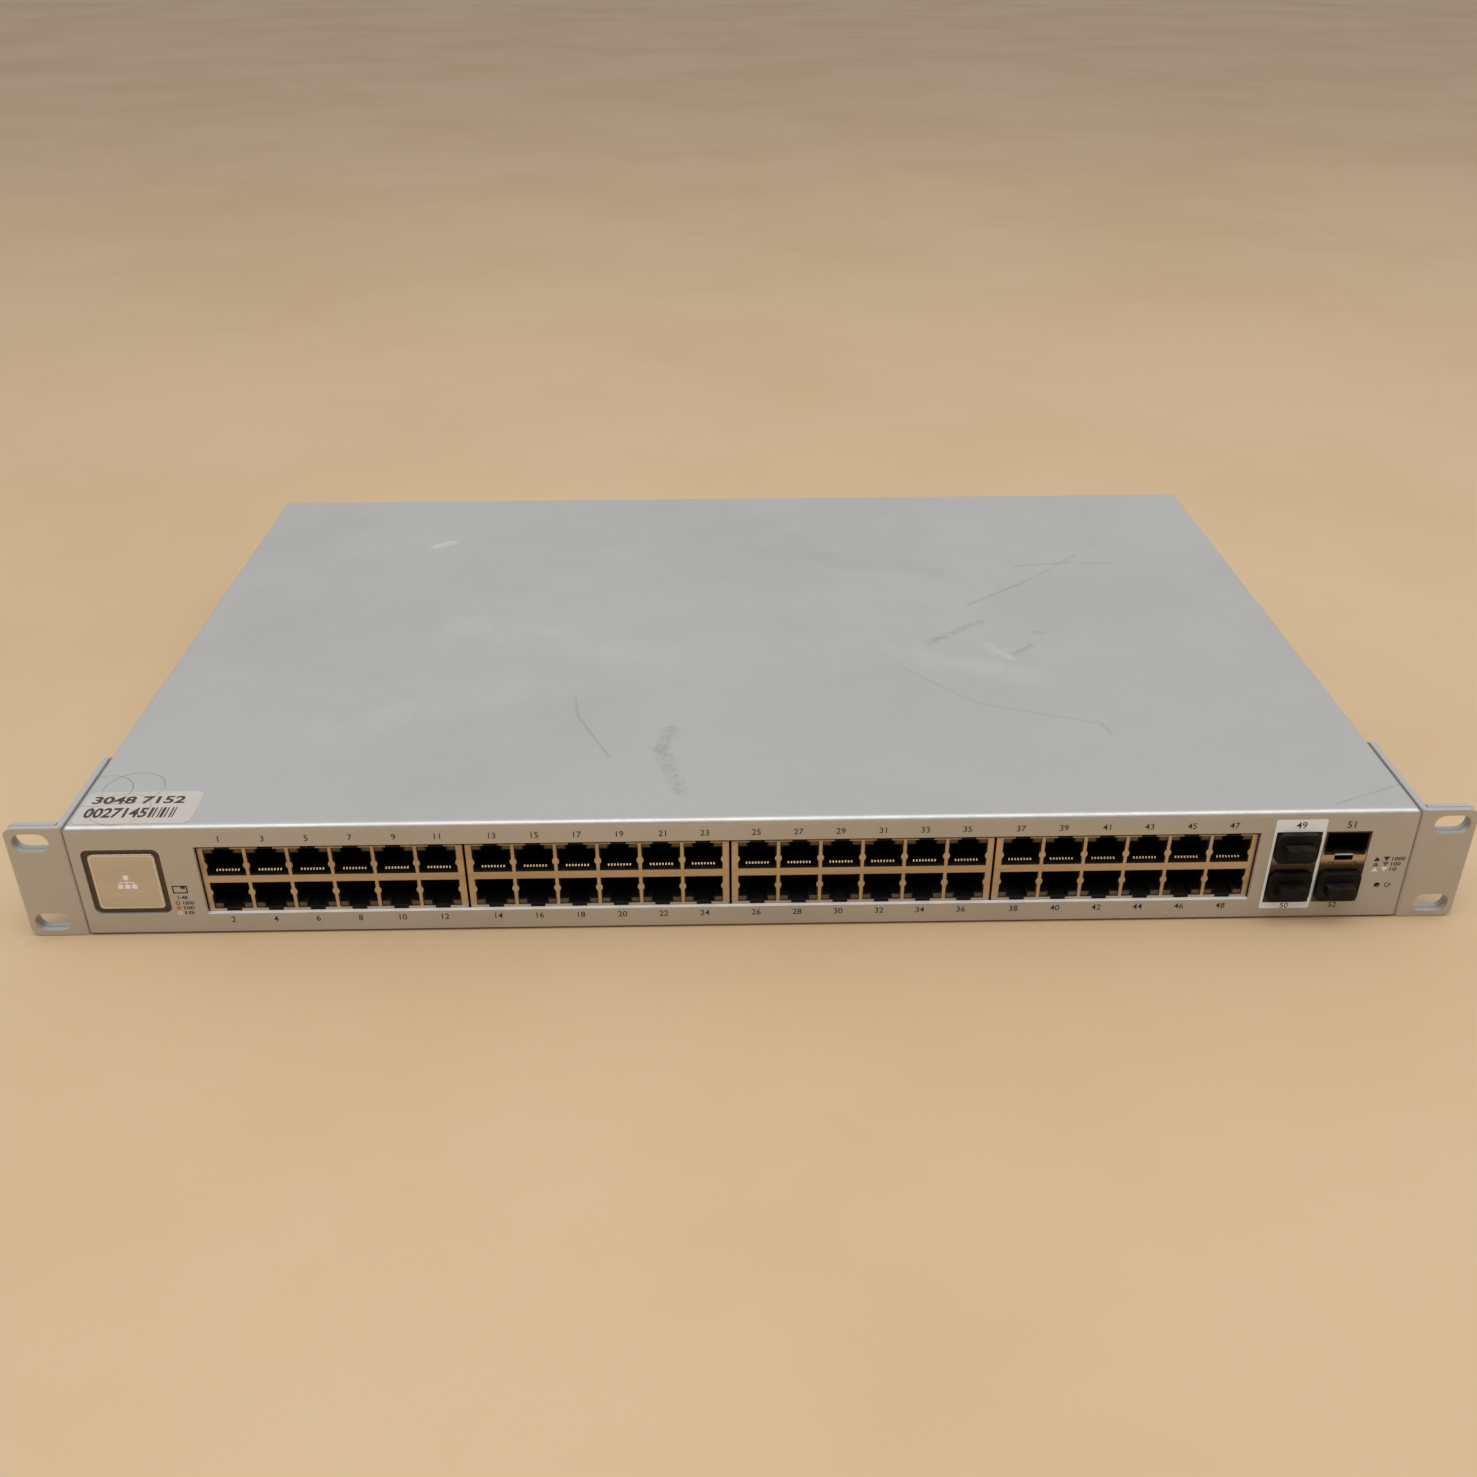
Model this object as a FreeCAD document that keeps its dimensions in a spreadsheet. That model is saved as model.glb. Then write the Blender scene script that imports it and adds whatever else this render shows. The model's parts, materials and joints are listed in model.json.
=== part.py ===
import FreeCAD, Part
import Sketcher
import math
import os
import re

from FreeCAD import Placement, Rotation, Vector

# Rackmount network switch: 48 jacks, four uplink cages, one rack unit high. Millimetres.
# +Z is up and the front faces -Y. The origin is the middle of the underside.

SIZES = {
    # the case
    "width": 443.0,
    "depth": 290.0,
    "height": 43.0,
    "gauge": 1.2,
    "bend": 2.0,
    "cover_lift": 0.8,
    "tray_gap": 0.3,
    "lip_height": 10.5,
    # the jack opening and its folded lips
    "jack_left": -180.5,
    "jack_right": 169.8,
    "jack_low": 8.0,
    "jack_high": 35.0,
    "lip_depth": 1.6,
    "lip_gauge": 1.0,
    # the uplink openings
    "uplink_first": 182.5,
    "uplink_pitch": 16.5,
    "uplink_wide": 15.2,
    "uplink_low": 6.7,
    "uplink_high": 35.2,
    # the square plate at the left end
    "plate_x": -204.75,
    "plate_z": 21.5,
    "plate_hole": 25.6,
    "plate_side": 21.9,
    "plate_corner": 2.5,
    # the pinhole
    "reset_x": 212.6,
    "reset_z": 13.3,
    "reset_hole": 1.0,
    # the rack ears
    "ear_span": 482.6,
    "ear_gauge": 2.0,
    "ear_reach": 49.0,
    "ear_corner": 4.5,
    "hem_gap": 0.2,
    "hem_clear": 0.5,
    "ear_side_corner": 6.0,
    "rack_span": 465.1,
    "rack_rise": 31.75,
    "rack_slot": 12.0,
    "rack_slot_wide": 7.0,
    # one block of jacks
    "block_pitch": 87.8,
    "block_wide": 87.2,
    "block_setback": 1.7,
    "block_deep": 22.0,
    "block_low": 6.8,
    "block_high": 33.55,
    "shield_gauge": 0.4,
    "housing_slack": 0.05,
    "port_pitch": 13.97,
    "port_wide": 12.9,
    "port_tall": 10.6,
    "row_middle": 21.0,
    "row_half_gap": 1.4,
    "latch_wide": 5.0,
    "latch_tall": 1.0,
    "finger_radius": 1.6,
    "finger_proud": 0.6,
    "finger_rise": 4.0,
    "cavity_wide": 12.0,
    "cavity_tall": 8.0,
    "cavity_deep": 14.0,
    "cavity_start": 0.5,
    "shoulder_wide": 6.4,
    "shoulder_tall": 1.7,
    "window_wide": 2.6,
    "window_tall": 1.7,
    "window_deep": 4.0,
    "window_offset": 5.0,
    # the circuit board
    "board_low": 5.2,
    "board_gauge": 1.6,
    # the uplink cage and its plugs
    "cage_wide": 14.8,
    "cage_deep": 50.0,
    "cage_high": 35.0,
    "cage_wall": 0.4,
    "cage_mouth_wide": 13.8,
    "cage_mouth_tall": 8.8,
    "cage_mouth_low": 10.1,
    "cage_mouth_rise": 15.7,
    "plug_wide": 14.2,
    "plug_tall": 11.6,
    "plug_flange": 1.6,
    "plug_corner": 2.4,
    "plug_drop": 1.0,
    "plug_insert_wide": 13.2,
    "plug_insert_tall": 7.6,
    "plug_insert_deep": 10.0,
    "plug_wall": 1.2,
    "grip_wide": 9.4,
    "grip_tall": 3.6,
    "grip_deep": 3.6,
    # the rear
    "fan_side": 40.0,
    "fan_deep": 20.0,
    "fan_gap": 0.4,
    "fan_bore": 19.0,
    "fan_z": 21.4,
    "fan_screw_pitch": 32.0,
    "inlet_x": -176.0,
    "inlet_z": 21.0,
    "inlet_flange_wide": 50.0,
    "inlet_flange_tall": 22.6,
    "inlet_flange": 2.5,
    "inlet_body_wide": 27.0,
    "inlet_body_tall": 19.8,
    "inlet_screw_pitch": 40.0,
    "inlet_slack": 0.3,
    # the sticker
    "sticker_left": -219.5,
    "sticker_setback": 2.2,
    "sticker_wide": 38.5,
    "sticker_deep": 19.5,
    "sticker_thick": 0.12,
}

doc = FreeCAD.newDocument("network_switch")
sheet = doc.addObject("Spreadsheet::Sheet", "Sizes")
for row, (alias, number) in enumerate(SIZES.items(), 1):
    sheet.set(f"A{row}", alias)
    sheet.set(f"B{row}", str(number))
    sheet.setAlias(f"B{row}", alias)
doc.recompute()

nodes = {}

ALONG_X = Rotation(Vector(0, 0, 1), Vector(1, 0, 0))
ALONG_Y = Rotation(Vector(0, 0, 1), Vector(0, 1, 0))
ALONG_Z = Rotation()
EPS = 0.01

# places worked out from the sheet
FRONT = -SIZES["depth"] / 2
REAR = SIZES["depth"] / 2
BOARD_TOP = SIZES["board_low"] + SIZES["board_gauge"]
BLOCK_FRONT = FRONT + SIZES["block_setback"]
JACK_MIDDLE = (SIZES["jack_left"] + SIZES["jack_right"]) / 2
BLOCK_X = [JACK_MIDDLE + (i - 1.5) * SIZES["block_pitch"] for i in range(4)]
PORT_X = [(i - 2.5) * SIZES["port_pitch"] for i in range(6)]
CAGE_X = [SIZES["uplink_first"] + i * SIZES["uplink_pitch"] for i in range(2)]
FAN_X = (96.0, 168.0)
# the fans sit on a thin gasket in front of the rear panel
FAN_BACK = REAR - SIZES["gauge"] - SIZES["fan_gap"]
FAN_FRONT = FAN_BACK - SIZES["fan_deep"]
BLADES = 7
BLADE_ANGLE = 38.0


# ---------------------------------------------------------------- helpers

def formula(text):
    """A formula over the sheet, written with bare aliases."""
    return re.sub(r"[a-z_]+", lambda word: f"Sizes.{word[0]}" if word[0] in SIZES else word[0], str(text))


def bind(thing, names, texts):
    for name, text in zip(names, texts):
        thing.setExpression(name, formula(text))


def at(thing, place, turn=ALONG_Z):
    thing.Placement = Placement(Vector(), turn)
    bind(thing, ("Placement.Base.x", "Placement.Base.y", "Placement.Base.z"), place)


def box(name, low, sides):
    """A box from its low corner and its sides."""
    piece = doc.addObject("Part::Box", name)
    bind(piece, ("Length", "Width", "Height"), sides)
    at(piece, low)
    return piece


def cylinder(name, start, radius, length, turn=ALONG_Z):
    """A round bar that starts at a point and runs along a direction."""
    piece = doc.addObject("Part::Cylinder", name)
    bind(piece, ("Radius", "Height"), (radius, length))
    at(piece, start, turn)
    return piece


def cone(name, start, radius, end_radius, length, turn=ALONG_Z):
    piece = doc.addObject("Part::Cone", name)
    bind(piece, ("Radius1", "Radius2", "Height"), (radius, end_radius, length))
    at(piece, start, turn)
    return piece


def fuse(name, shapes):
    piece = doc.addObject("Part::MultiFuse", name)
    piece.Shapes = shapes
    piece.Refine = True
    return piece


def compound(name, links):
    piece = doc.addObject("Part::Compound", name)
    piece.Links = links
    return piece


def cut(name, base, tools):
    piece = doc.addObject("Part::Cut", name)
    piece.Base = base
    piece.Tool = tools[0] if len(tools) == 1 else compound(f"{name}_tools", tools)
    return piece


def common(name, shapes):
    piece = doc.addObject("Part::MultiCommon", name)
    piece.Shapes = shapes
    return piece


def rounded(name, base, radius, wanted):
    """The base with a radius on each edge that wanted() picks by its middle and direction."""
    doc.recompute()
    picked = []
    for number, edge in enumerate(base.Shape.Edges, 1):
        middle = edge.CenterOfMass
        first, last = edge.Vertexes[0].Point, edge.Vertexes[-1].Point
        run = (last - first).normalize() if (last - first).Length > EPS else Vector()
        if wanted(middle, Vector(*(abs(part) for part in run))):
            picked.append((number, radius, radius))
    piece = doc.addObject("Part::Fillet", name)
    piece.Base = base
    piece.Edges = picked
    return piece


def slot(name, middle, long, wide, deep, long_axis, deep_axis):
    """Three tools for a round-ended slot: long and wide across, deep through, started at its middle."""
    half = (long - wide) / 2
    low = [0.0, 0.0, 0.0]
    sides = [wide, wide, wide]
    for axis in range(3):
        sides[axis] = 2 * half if axis == long_axis else deep if axis == deep_axis else wide
        low[axis] = middle[axis] if axis == deep_axis else middle[axis] - sides[axis] / 2
    tools = [box(f"{name}_run", low, sides)]
    turn = (ALONG_X, ALONG_Y, ALONG_Z)[deep_axis]
    for end in (-1, 1):
        start = list(middle)
        start[long_axis] += end * half
        tools.append(cylinder(f"{name}_end", start, wide / 2, deep, turn))
    return tools


def moved(shape, place):
    piece = shape.copy()
    piece.Placement = place * piece.Placement
    return piece


def shift(x, y, z, turn=ALONG_Z):
    return Placement(Vector(x, y, z), turn)


def scatter(name, master, places):
    """One node that holds the same solid at each place."""
    doc.recompute()
    piece = doc.addObject("Part::Feature", name)
    piece.Shape = Part.makeCompound([moved(master.Shape, place) for place in places])
    return piece


def placed(name, master, place):
    """A node of its own that repeats the master's solid at a place."""
    doc.recompute()
    piece = doc.addObject("Part::Feature", name)
    piece.Shape = master.Shape.copy()
    piece.Placement = place * piece.Placement
    return piece


def keep(name, piece):
    piece.Label = name
    nodes[name] = piece
    return piece


def new_sketch(body, name, role):
    """A sketch on one of the body's own origin planes."""
    drawing = body.newObject("Sketcher::SketchObject", name)
    plane = next(item for item in body.Origin.OriginFeatures if item.Role == role)
    drawing.AttachmentSupport = [(plane, "")]
    drawing.MapMode = "FlatFace"
    return drawing


def rectangle(drawing, low, high):
    """A rectangle whose corners are formulas over the sheet."""
    corners = [Vector(0, 0, 0), Vector(1, 0, 0), Vector(1, 1, 0), Vector(0, 1, 0)]
    first = drawing.GeometryCount
    for corner in range(4):
        drawing.addGeometry(Part.LineSegment(corners[corner], corners[(corner + 1) % 4]), False)
    for corner in range(4):
        drawing.addConstraint(
            Sketcher.Constraint("Coincident", first + corner, 2, first + (corner + 1) % 4, 1)
        )
    for line, kind in enumerate(("Horizontal", "Vertical", "Horizontal", "Vertical")):
        drawing.addConstraint(Sketcher.Constraint(kind, first + line))
    for line, kind, text in ((0, "DistanceX", low[0]), (0, "DistanceY", low[1]),
                             (2, "DistanceX", high[0]), (2, "DistanceY", high[1])):
        index = drawing.addConstraint(Sketcher.Constraint(kind, -1, 1, first + line, 1, 1.0))
        drawing.setExpression(f"Constraints[{index}]", formula(text))


def pad(body, name, drawing, length, reverse=False):
    feature = body.newObject("PartDesign::Pad", name)
    feature.Profile = drawing
    feature.Reversed = reverse
    feature.setExpression("Length", formula(length))
    return feature


def pocket(body, name, drawing, length, reverse=False):
    feature = body.newObject("PartDesign::Pocket", name)
    feature.Profile = drawing
    feature.Reversed = reverse
    feature.setExpression("Length", formula(length))
    return feature


def corner_fillet(body, name, feature, radius, wanted):
    """A PartDesign fillet on the edges of a feature that wanted() picks."""
    doc.recompute()
    names = []
    for number, edge in enumerate(feature.Shape.Edges, 1):
        middle = edge.CenterOfMass
        run = edge.Vertexes[-1].Point - edge.Vertexes[0].Point
        run = run.normalize() if run.Length > EPS else Vector()
        if wanted(middle, Vector(*(abs(part) for part in run))):
            names.append(f"Edge{number}")
    fillet = body.newObject("PartDesign::Fillet", name)
    fillet.Base = (feature, names)
    fillet.setExpression("Radius", formula(radius))
    return fillet


def pan_screw(name, head_radius, head_tall, shank_radius, length):
    """A pan-head screw with a cross recess: the head stands on z = 0 and the shank points to -Z."""
    head = cylinder(f"{name}_head", (0, 0, 0), head_radius, head_tall * 0.55)
    crown = cone(f"{name}_crown", (0, 0, head_tall * 0.55), head_radius, head_radius * 0.7, head_tall * 0.45)
    shank = cylinder(f"{name}_shank", (0, 0, -length), shank_radius, length)
    whole = fuse(f"{name}_whole", [head, crown, shank])
    arm, wide = head_radius * 0.55, head_radius * 0.2
    recess = [
        box(f"{name}_cross", (-a, -b, head_tall * 0.45), (2 * a, 2 * b, head_tall))
        for a, b in ((arm, wide), (wide, arm))
    ]
    return cut(name, whole, recess)


def cable(name, points, radius, bend):
    """A round lead: straight runs joined by arcs of one radius."""
    path = Part.makePolygon(points)
    edges = []
    start = points[0]
    for before, corner, after in zip(points, points[1:], points[2:]):
        inward, outward = (corner - before).normalize(), (after - corner).normalize()
        reach = bend * math.tan(inward.getAngle(outward) / 2)
        first, last = corner - inward * reach, corner + outward * reach
        middle = corner + (outward - inward).normalize() * bend * (
            1 / math.cos(inward.getAngle(outward) / 2) - 1)
        edges += [Part.LineSegment(start, first).toShape(), Part.Arc(first, middle, last).toShape()]
        start = last
    edges.append(Part.LineSegment(start, points[-1]).toShape())
    path = Part.Wire(edges)
    circle = Part.Circle(points[0], points[1] - points[0], radius).toShape()
    piece = doc.addObject("Part::Feature", name)
    piece.Shape = path.makePipeShell([Part.Wire([circle])], True, False)
    return piece


# ---------------------------------------------------------------- the case

EAR_SCREW_Y = (-129.0, -107.0)
EAR_SCREW_Z = (13.0, 32.0)
COVER_SCREW_Y = (-60.0, 20.0, 120.0)
COVER_SCREW_Z = 7.0
SIDE_VENT_START = (-46.0, 44.0)
SIDE_VENT_COUNT = 9
SIDE_VENT_PITCH = 6.5
ACROSS = SIZES["width"] + 20


def cover_openings():
    """Everything that is punched out of the cover and its fascia."""
    through = "gauge + 2"
    tools = [box("jack_opening", ("jack_left", "-depth / 2 - 1", "jack_low"),
                 ("jack_right - jack_left", through, "jack_high - jack_low"))]
    for x in CAGE_X:
        tools.append(box("uplink_opening", (f"{x} - uplink_wide / 2", "-depth / 2 - 1", "uplink_low"),
                         ("uplink_wide", through, "uplink_high - uplink_low")))
    blank = box("plate_blank",
                ("plate_x - plate_hole / 2", "-depth / 2 - 1", "plate_z - plate_hole / 2"),
                ("plate_hole", through, "plate_hole"))
    tools.append(rounded("plate_opening", blank, SIZES["plate_corner"], lambda p, run: run.y > 0.9))
    tools.append(cylinder("pinhole", ("reset_x", "-depth / 2 - 1", "reset_z"),
                          "reset_hole", through, ALONG_Y))
    for y in EAR_SCREW_Y:
        for z in EAR_SCREW_Z:
            tools.append(cylinder("ear_screw_hole", (-ACROSS / 2, y, z), 2.1, ACROSS, ALONG_X))
    for y in COVER_SCREW_Y:
        tools.append(cylinder("cover_screw_hole", (-ACROSS / 2, y, COVER_SCREW_Z), 1.6, ACROSS, ALONG_X))
    for start in SIDE_VENT_START:
        for step in range(SIDE_VENT_COUNT):
            middle = (-ACROSS / 2, start + step * SIDE_VENT_PITCH, 24.0)
            tools += slot("side_vent", middle, 20.0, 3.0, ACROSS, 2, 0)
    return tools


def make_cover():
    """One bent sheet: the top, both sides and the front fascia."""
    block = box("cover_block", ("-width / 2", "-depth / 2", "cover_lift"),
                ("width", "depth", "height - cover_lift"))
    outside = rounded("cover_outside", block, SIZES["bend"],
                      lambda p, run: p.z > SIZES["height"] - EPS and p.y < REAR - EPS)
    outside = rounded("cover_corners", outside, 1.0,
                      lambda p, run: run.z > 0.9 and p.y < FRONT + EPS and abs(p.x) > SIZES["width"] / 2 - 1)
    room = box("cover_room", ("-width / 2 + gauge", "-depth / 2 + gauge", "-1"),
               ("width - 2 * gauge", "depth", "height - gauge + 1"))
    inside = rounded("cover_inside", room, SIZES["bend"] - SIZES["gauge"],
                     lambda p, run: p.z > SIZES["height"] - SIZES["gauge"] - EPS and p.y < REAR - 1)
    shell = cut("cover_shell", outside, [inside])
    lips = [
        box("jack_lip", ("jack_left", "-depth / 2 + gauge / 2", low),
            ("jack_right - jack_left", "lip_depth - gauge / 2", "lip_gauge"))
        for low in ("jack_low - lip_gauge", "jack_high")
    ]
    return cut("cover", fuse("cover_with_lips", [shell] + lips), cover_openings())


REAR_VENT_X = [-118.0 + 7.0 * step for step in range(24)]
FAN_HOLE_RINGS = ((0.0, 1), (5.6, 6), (11.0, 12), (16.4, 18))
EARTH_X = -140.0
EARTH_Z = 12.0


def tray_openings():
    """The rear panel's holes, and the rivet holes of the side lips."""
    start = REAR - SIZES["gauge"] - 1
    deep = SIZES["gauge"] + 2
    tools = [box("inlet_opening",
                 ("inlet_x - inlet_body_wide / 2 - inlet_slack", start,
                  "inlet_z - inlet_body_tall / 2 - inlet_slack"),
                 ("inlet_body_wide + 2 * inlet_slack", deep, "inlet_body_tall + 2 * inlet_slack"))]
    for side in (-1, 1):
        place = (f"inlet_x + {side} * inlet_screw_pitch / 2", start, "inlet_z")
        tools.append(cylinder("inlet_screw_hole", place, 1.7, deep, ALONG_Y))
    tools.append(cylinder("earth_screw_hole", (EARTH_X, start, EARTH_Z), 2.1, deep, ALONG_Y))
    for x in FAN_X:
        for radius, count in FAN_HOLE_RINGS:
            for step in range(count):
                turn = 2 * math.pi * step / count
                middle = (x + radius * math.cos(turn), start, SIZES["fan_z"] + radius * math.sin(turn))
                tools.append(cylinder("fan_hole", middle, 2.1, deep, ALONG_Y))
        for side in (-1, 1):
            for end in (-1, 1):
                corner = (x + side * SIZES["fan_screw_pitch"] / 2, start,
                          SIZES["fan_z"] + end * SIZES["fan_screw_pitch"] / 2)
                tools.append(cylinder("fan_screw_hole", corner, 1.9, deep, ALONG_Y))
    for x in REAR_VENT_X:
        tools += slot("rear_vent", (x, start, 24.0), 20.0, 3.0, deep, 2, 1)
    for y in COVER_SCREW_Y:
        tools.append(cylinder("lip_screw_hole", (-ACROSS / 2, y, COVER_SCREW_Z), 1.6, ACROSS, ALONG_X))
    return tools


def make_tray():
    """The floor, the rear panel and low lips for the cover's sides, bent from one sheet."""
    inset = "width / 2 - gauge - tray_gap"
    block = box("tray_block", (f"-({inset})", "-depth / 2 + gauge + tray_gap", "0"),
                (f"2 * ({inset})", "depth - gauge - tray_gap", "height - gauge - 0.2"))
    outside = rounded("tray_outside", block, SIZES["bend"], lambda p, run: p.z < EPS)
    room = box("tray_room", (f"-({inset}) + gauge", "-depth / 2 + 2 * gauge + tray_gap", "gauge"),
               (f"2 * ({inset}) - 2 * gauge", "depth - 3 * gauge - tray_gap", "height"))
    inside = rounded("tray_inside", room, SIZES["bend"] - SIZES["gauge"],
                     lambda p, run: p.z < SIZES["gauge"] + EPS)
    above_lips = box("tray_trim", ("-width / 2", "-depth / 2", "lip_height"),
                     ("width", "depth - gauge", "height"))
    front_trim = box("tray_front_trim", ("-width / 2", "-depth / 2", "4"), ("width", "5", "lip_height"))
    return cut("tray", outside, [inside, above_lips, front_trim] + tray_openings())


def make_ear():
    """The right ear: an L bracket whose front plate is hemmed back on itself."""
    half = "width / 2"
    tip = "ear_span / 2"
    flange = box("ear_flange", (half, "-depth / 2", "0"), ("ear_gauge", "ear_reach", "height"))
    plate = box("ear_plate", (half, "-depth / 2", "0"), (f"{tip} - {half}", "ear_gauge", "height"))
    edge = box("ear_fold", (f"{tip} - ear_gauge", "-depth / 2", "0"),
               ("ear_gauge", "2 * ear_gauge + hem_gap", "height"))
    hem_start = f"{half} + ear_gauge + hem_clear"
    hem = box("ear_hem", (hem_start, "-depth / 2 + ear_gauge + hem_gap", "0"),
              (f"{tip} - ({hem_start})", "ear_gauge", "height"))
    bracket = fuse("ear_bracket", [flange, plate, edge, hem])
    width_half, tip_x = SIZES["width"] / 2, SIZES["ear_span"] / 2
    bent = rounded("ear_bends", bracket, SIZES["ear_gauge"] * 0.9,
                   lambda p, run: run.z > 0.9 and (
                       abs(p.x - tip_x) < EPS
                       or (abs(p.x - width_half) < EPS and p.y < FRONT + EPS)))
    outline = box("ear_outline", (half, "-depth / 2 - 1", "0"),
                  (f"{tip} - {half}", "ear_reach + 2", "height"))
    outline = rounded("ear_corners", outline, SIZES["ear_corner"],
                      lambda p, run: run.y > 0.9 and abs(p.x - tip_x) < EPS)
    profile = box("ear_side", (half, "-depth / 2 - 1", "0"), (f"{tip} - {half}", "ear_reach + 1", "height"))
    profile = rounded("ear_side_corners", profile, SIZES["ear_side_corner"],
                      lambda p, run: run.x > 0.9 and p.y > FRONT + 5)
    holes = []
    for end in (-1, 1):
        middle = (SIZES["rack_span"] / 2, FRONT - 1, SIZES["height"] / 2 + end * SIZES["rack_rise"] / 2)
        holes += slot("rack_slot", middle, SIZES["rack_slot"], SIZES["rack_slot_wide"], 8.0, 0, 1)
    for y in EAR_SCREW_Y:
        for z in EAR_SCREW_Z:
            holes.append(cylinder("ear_hole", (width_half - 1, y, z), 2.2, 5, ALONG_X))
    return cut("ear", common("ear_blank", [bent, outline, profile]), holes)


def make_case():
    keep("top_cover", make_cover())
    keep("chassis_tray", make_tray())
    ear = keep("rack_ear_right", make_ear())
    mirror = doc.addObject("Part::Mirroring", "ear_mirrored")
    mirror.Source = ear
    mirror.Normal = Vector(1, 0, 0)
    keep("rack_ear_left", mirror)
    master = pan_screw("ear_screw", 3.6, 2.2, 2.0, 7.0)
    wall = SIZES["width"] / 2
    outer = wall + SIZES["ear_gauge"]
    places = [shift(side * outer, y, z, Rotation(Vector(0, 0, 1), Vector(side, 0, 0)))
              for side in (-1, 1) for y in EAR_SCREW_Y for z in EAR_SCREW_Z]
    keep("ear_screws", scatter("ear_screw_group", master, places))
    master = pan_screw("cover_screw", 2.7, 1.5, 1.5, 5.0)
    places = [shift(side * wall, y, COVER_SCREW_Z, Rotation(Vector(0, 0, 1), Vector(side, 0, 0)))
              for side in (-1, 1) for y in COVER_SCREW_Y]
    keep("cover_screws", scatter("cover_screw_group", master, places))


def make_plate():
    """The square plate in its dark ring, both set in from behind the fascia."""
    side, hole, corner = SIZES["plate_side"], SIZES["plate_hole"], SIZES["plate_corner"]
    x, z = SIZES["plate_x"], SIZES["plate_z"]

    def slab(name, wide, start, deep, radius):
        blank = box(name, (x - wide / 2, start, z - wide / 2), (wide, deep, wide))
        return rounded(f"{name}_rounded", blank, radius, lambda p, run: run.y > 0.9)

    front = slab("ring_front", hole - 0.1, FRONT + 0.7, 1.0, corner)
    flange = slab("ring_flange", hole + 2.8, FRONT + SIZES["gauge"], 1.4, corner + 1)
    seat = slab("ring_seat", side + 0.05, FRONT, 2.0, 1.6)
    keep("status_light_ring", cut("ring", fuse("ring_whole", [front, flange]), [seat]))
    plate = slab("plate_blank_front", side, FRONT + 0.02, 1.9, 1.6)
    edge = rounded("plate_edge", plate, 0.35,
                   lambda p, run: p.y < FRONT + 0.03 and p.y > FRONT)
    keep("logo_plate", edge)


# ---------------------------------------------------------------- the jacks

def row_sign(row):
    """Row 0 is the lower one, its latch down; row 1 is the upper one, its latch up."""
    return 1 if row else -1


def span(sign, near, far):
    """Low z and height of a stretch that lies near to far from the middle bar."""
    low = SIZES["row_middle"] + (near if sign > 0 else -far)
    return low, far - near


def make_shield():
    """A stamped shield round one block, with twelve port outlines and their latch notches."""
    gauge = SIZES["shield_gauge"]
    outer = box("shield_block", ("-block_wide / 2", BLOCK_FRONT, "block_low"),
                ("block_wide", "block_deep", "block_high - block_low"))
    outer = rounded("shield_outside", outer, 0.5,
                    lambda p, run: p.y < BLOCK_FRONT + EPS and p.z > SIZES["block_low"] + EPS)
    room = box("shield_room", ("-block_wide / 2 + shield_gauge", BLOCK_FRONT + gauge, "block_low - 1"),
               ("block_wide - 2 * shield_gauge", "block_deep - 2 * shield_gauge",
                "block_high - block_low + 1 - shield_gauge"))
    tools = [room]
    half_port = SIZES["port_wide"] / 2
    for row in (0, 1):
        sign = row_sign(row)
        near = SIZES["row_half_gap"]
        far = near + SIZES["port_tall"]
        low, tall = span(sign, near, far)
        notch_low, notch_tall = span(sign, far - 1, far + SIZES["latch_tall"])
        for x in PORT_X:
            opening = box("port_opening", (x - half_port, BLOCK_FRONT - 1, low), ("port_wide", 3, tall))
            finger_z = SIZES["row_middle"] + sign * (near + SIZES["finger_rise"])
            fingers = [
                cylinder("port_finger",
                         (x + side * (half_port + SIZES["finger_radius"] - SIZES["finger_proud"]),
                          BLOCK_FRONT - 2, finger_z),
                         "finger_radius", 6, ALONG_Y)
                for side in (-1, 1)
            ]
            tools.append(cut("port_outline", opening, fingers))
            tools.append(box("port_notch", (f"{x} - latch_wide / 2", BLOCK_FRONT - 1, notch_low),
                             ("latch_wide", 3, notch_tall)))
    return cut("shield", outer, tools)


def make_housing():
    """The black insert inside one shield: twelve cavities, latch shoulders and pockets for the lights."""
    slack = SIZES["housing_slack"]
    skin = "(shield_gauge + housing_slack)"
    block = box("housing_block", (f"-block_wide / 2 + {skin}", f"{BLOCK_FRONT} + {skin}", "block_low + 0.1"),
                (f"block_wide - 2 * {skin}", f"block_deep - 2 * {skin}",
                 f"block_high - block_low - 0.1 - {skin}"))
    tools = []
    for row in (0, 1):
        sign = row_sign(row)
        near = SIZES["row_half_gap"] + SIZES["cavity_start"]
        top = near + SIZES["cavity_tall"]
        main_low, main_tall = span(sign, near, top)
        shoulder_low, shoulder_tall = span(sign, top - EPS, top + SIZES["shoulder_tall"])
        window_near = top + 0.35
        window_far = window_near + SIZES["window_tall"]
        window_low, window_tall = span(sign, window_near - slack, window_far + slack)
        for x in PORT_X:
            tools.append(box("cavity", (f"{x} - cavity_wide / 2", BLOCK_FRONT, main_low),
                             ("cavity_wide", "cavity_deep", main_tall)))
            tools.append(box("shoulder", (f"{x} - shoulder_wide / 2", BLOCK_FRONT, shoulder_low),
                             ("shoulder_wide", "cavity_deep - 2", shoulder_tall)))
            for side in (-1, 1):
                left = f"{x} + {side} * window_offset - window_wide / 2 - housing_slack"
                tools.append(box("window_pocket", (left, BLOCK_FRONT, window_low),
                                 ("window_wide + 2 * housing_slack", "window_deep + 0.5", window_tall)))
    return cut("housing", block, tools)


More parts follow.
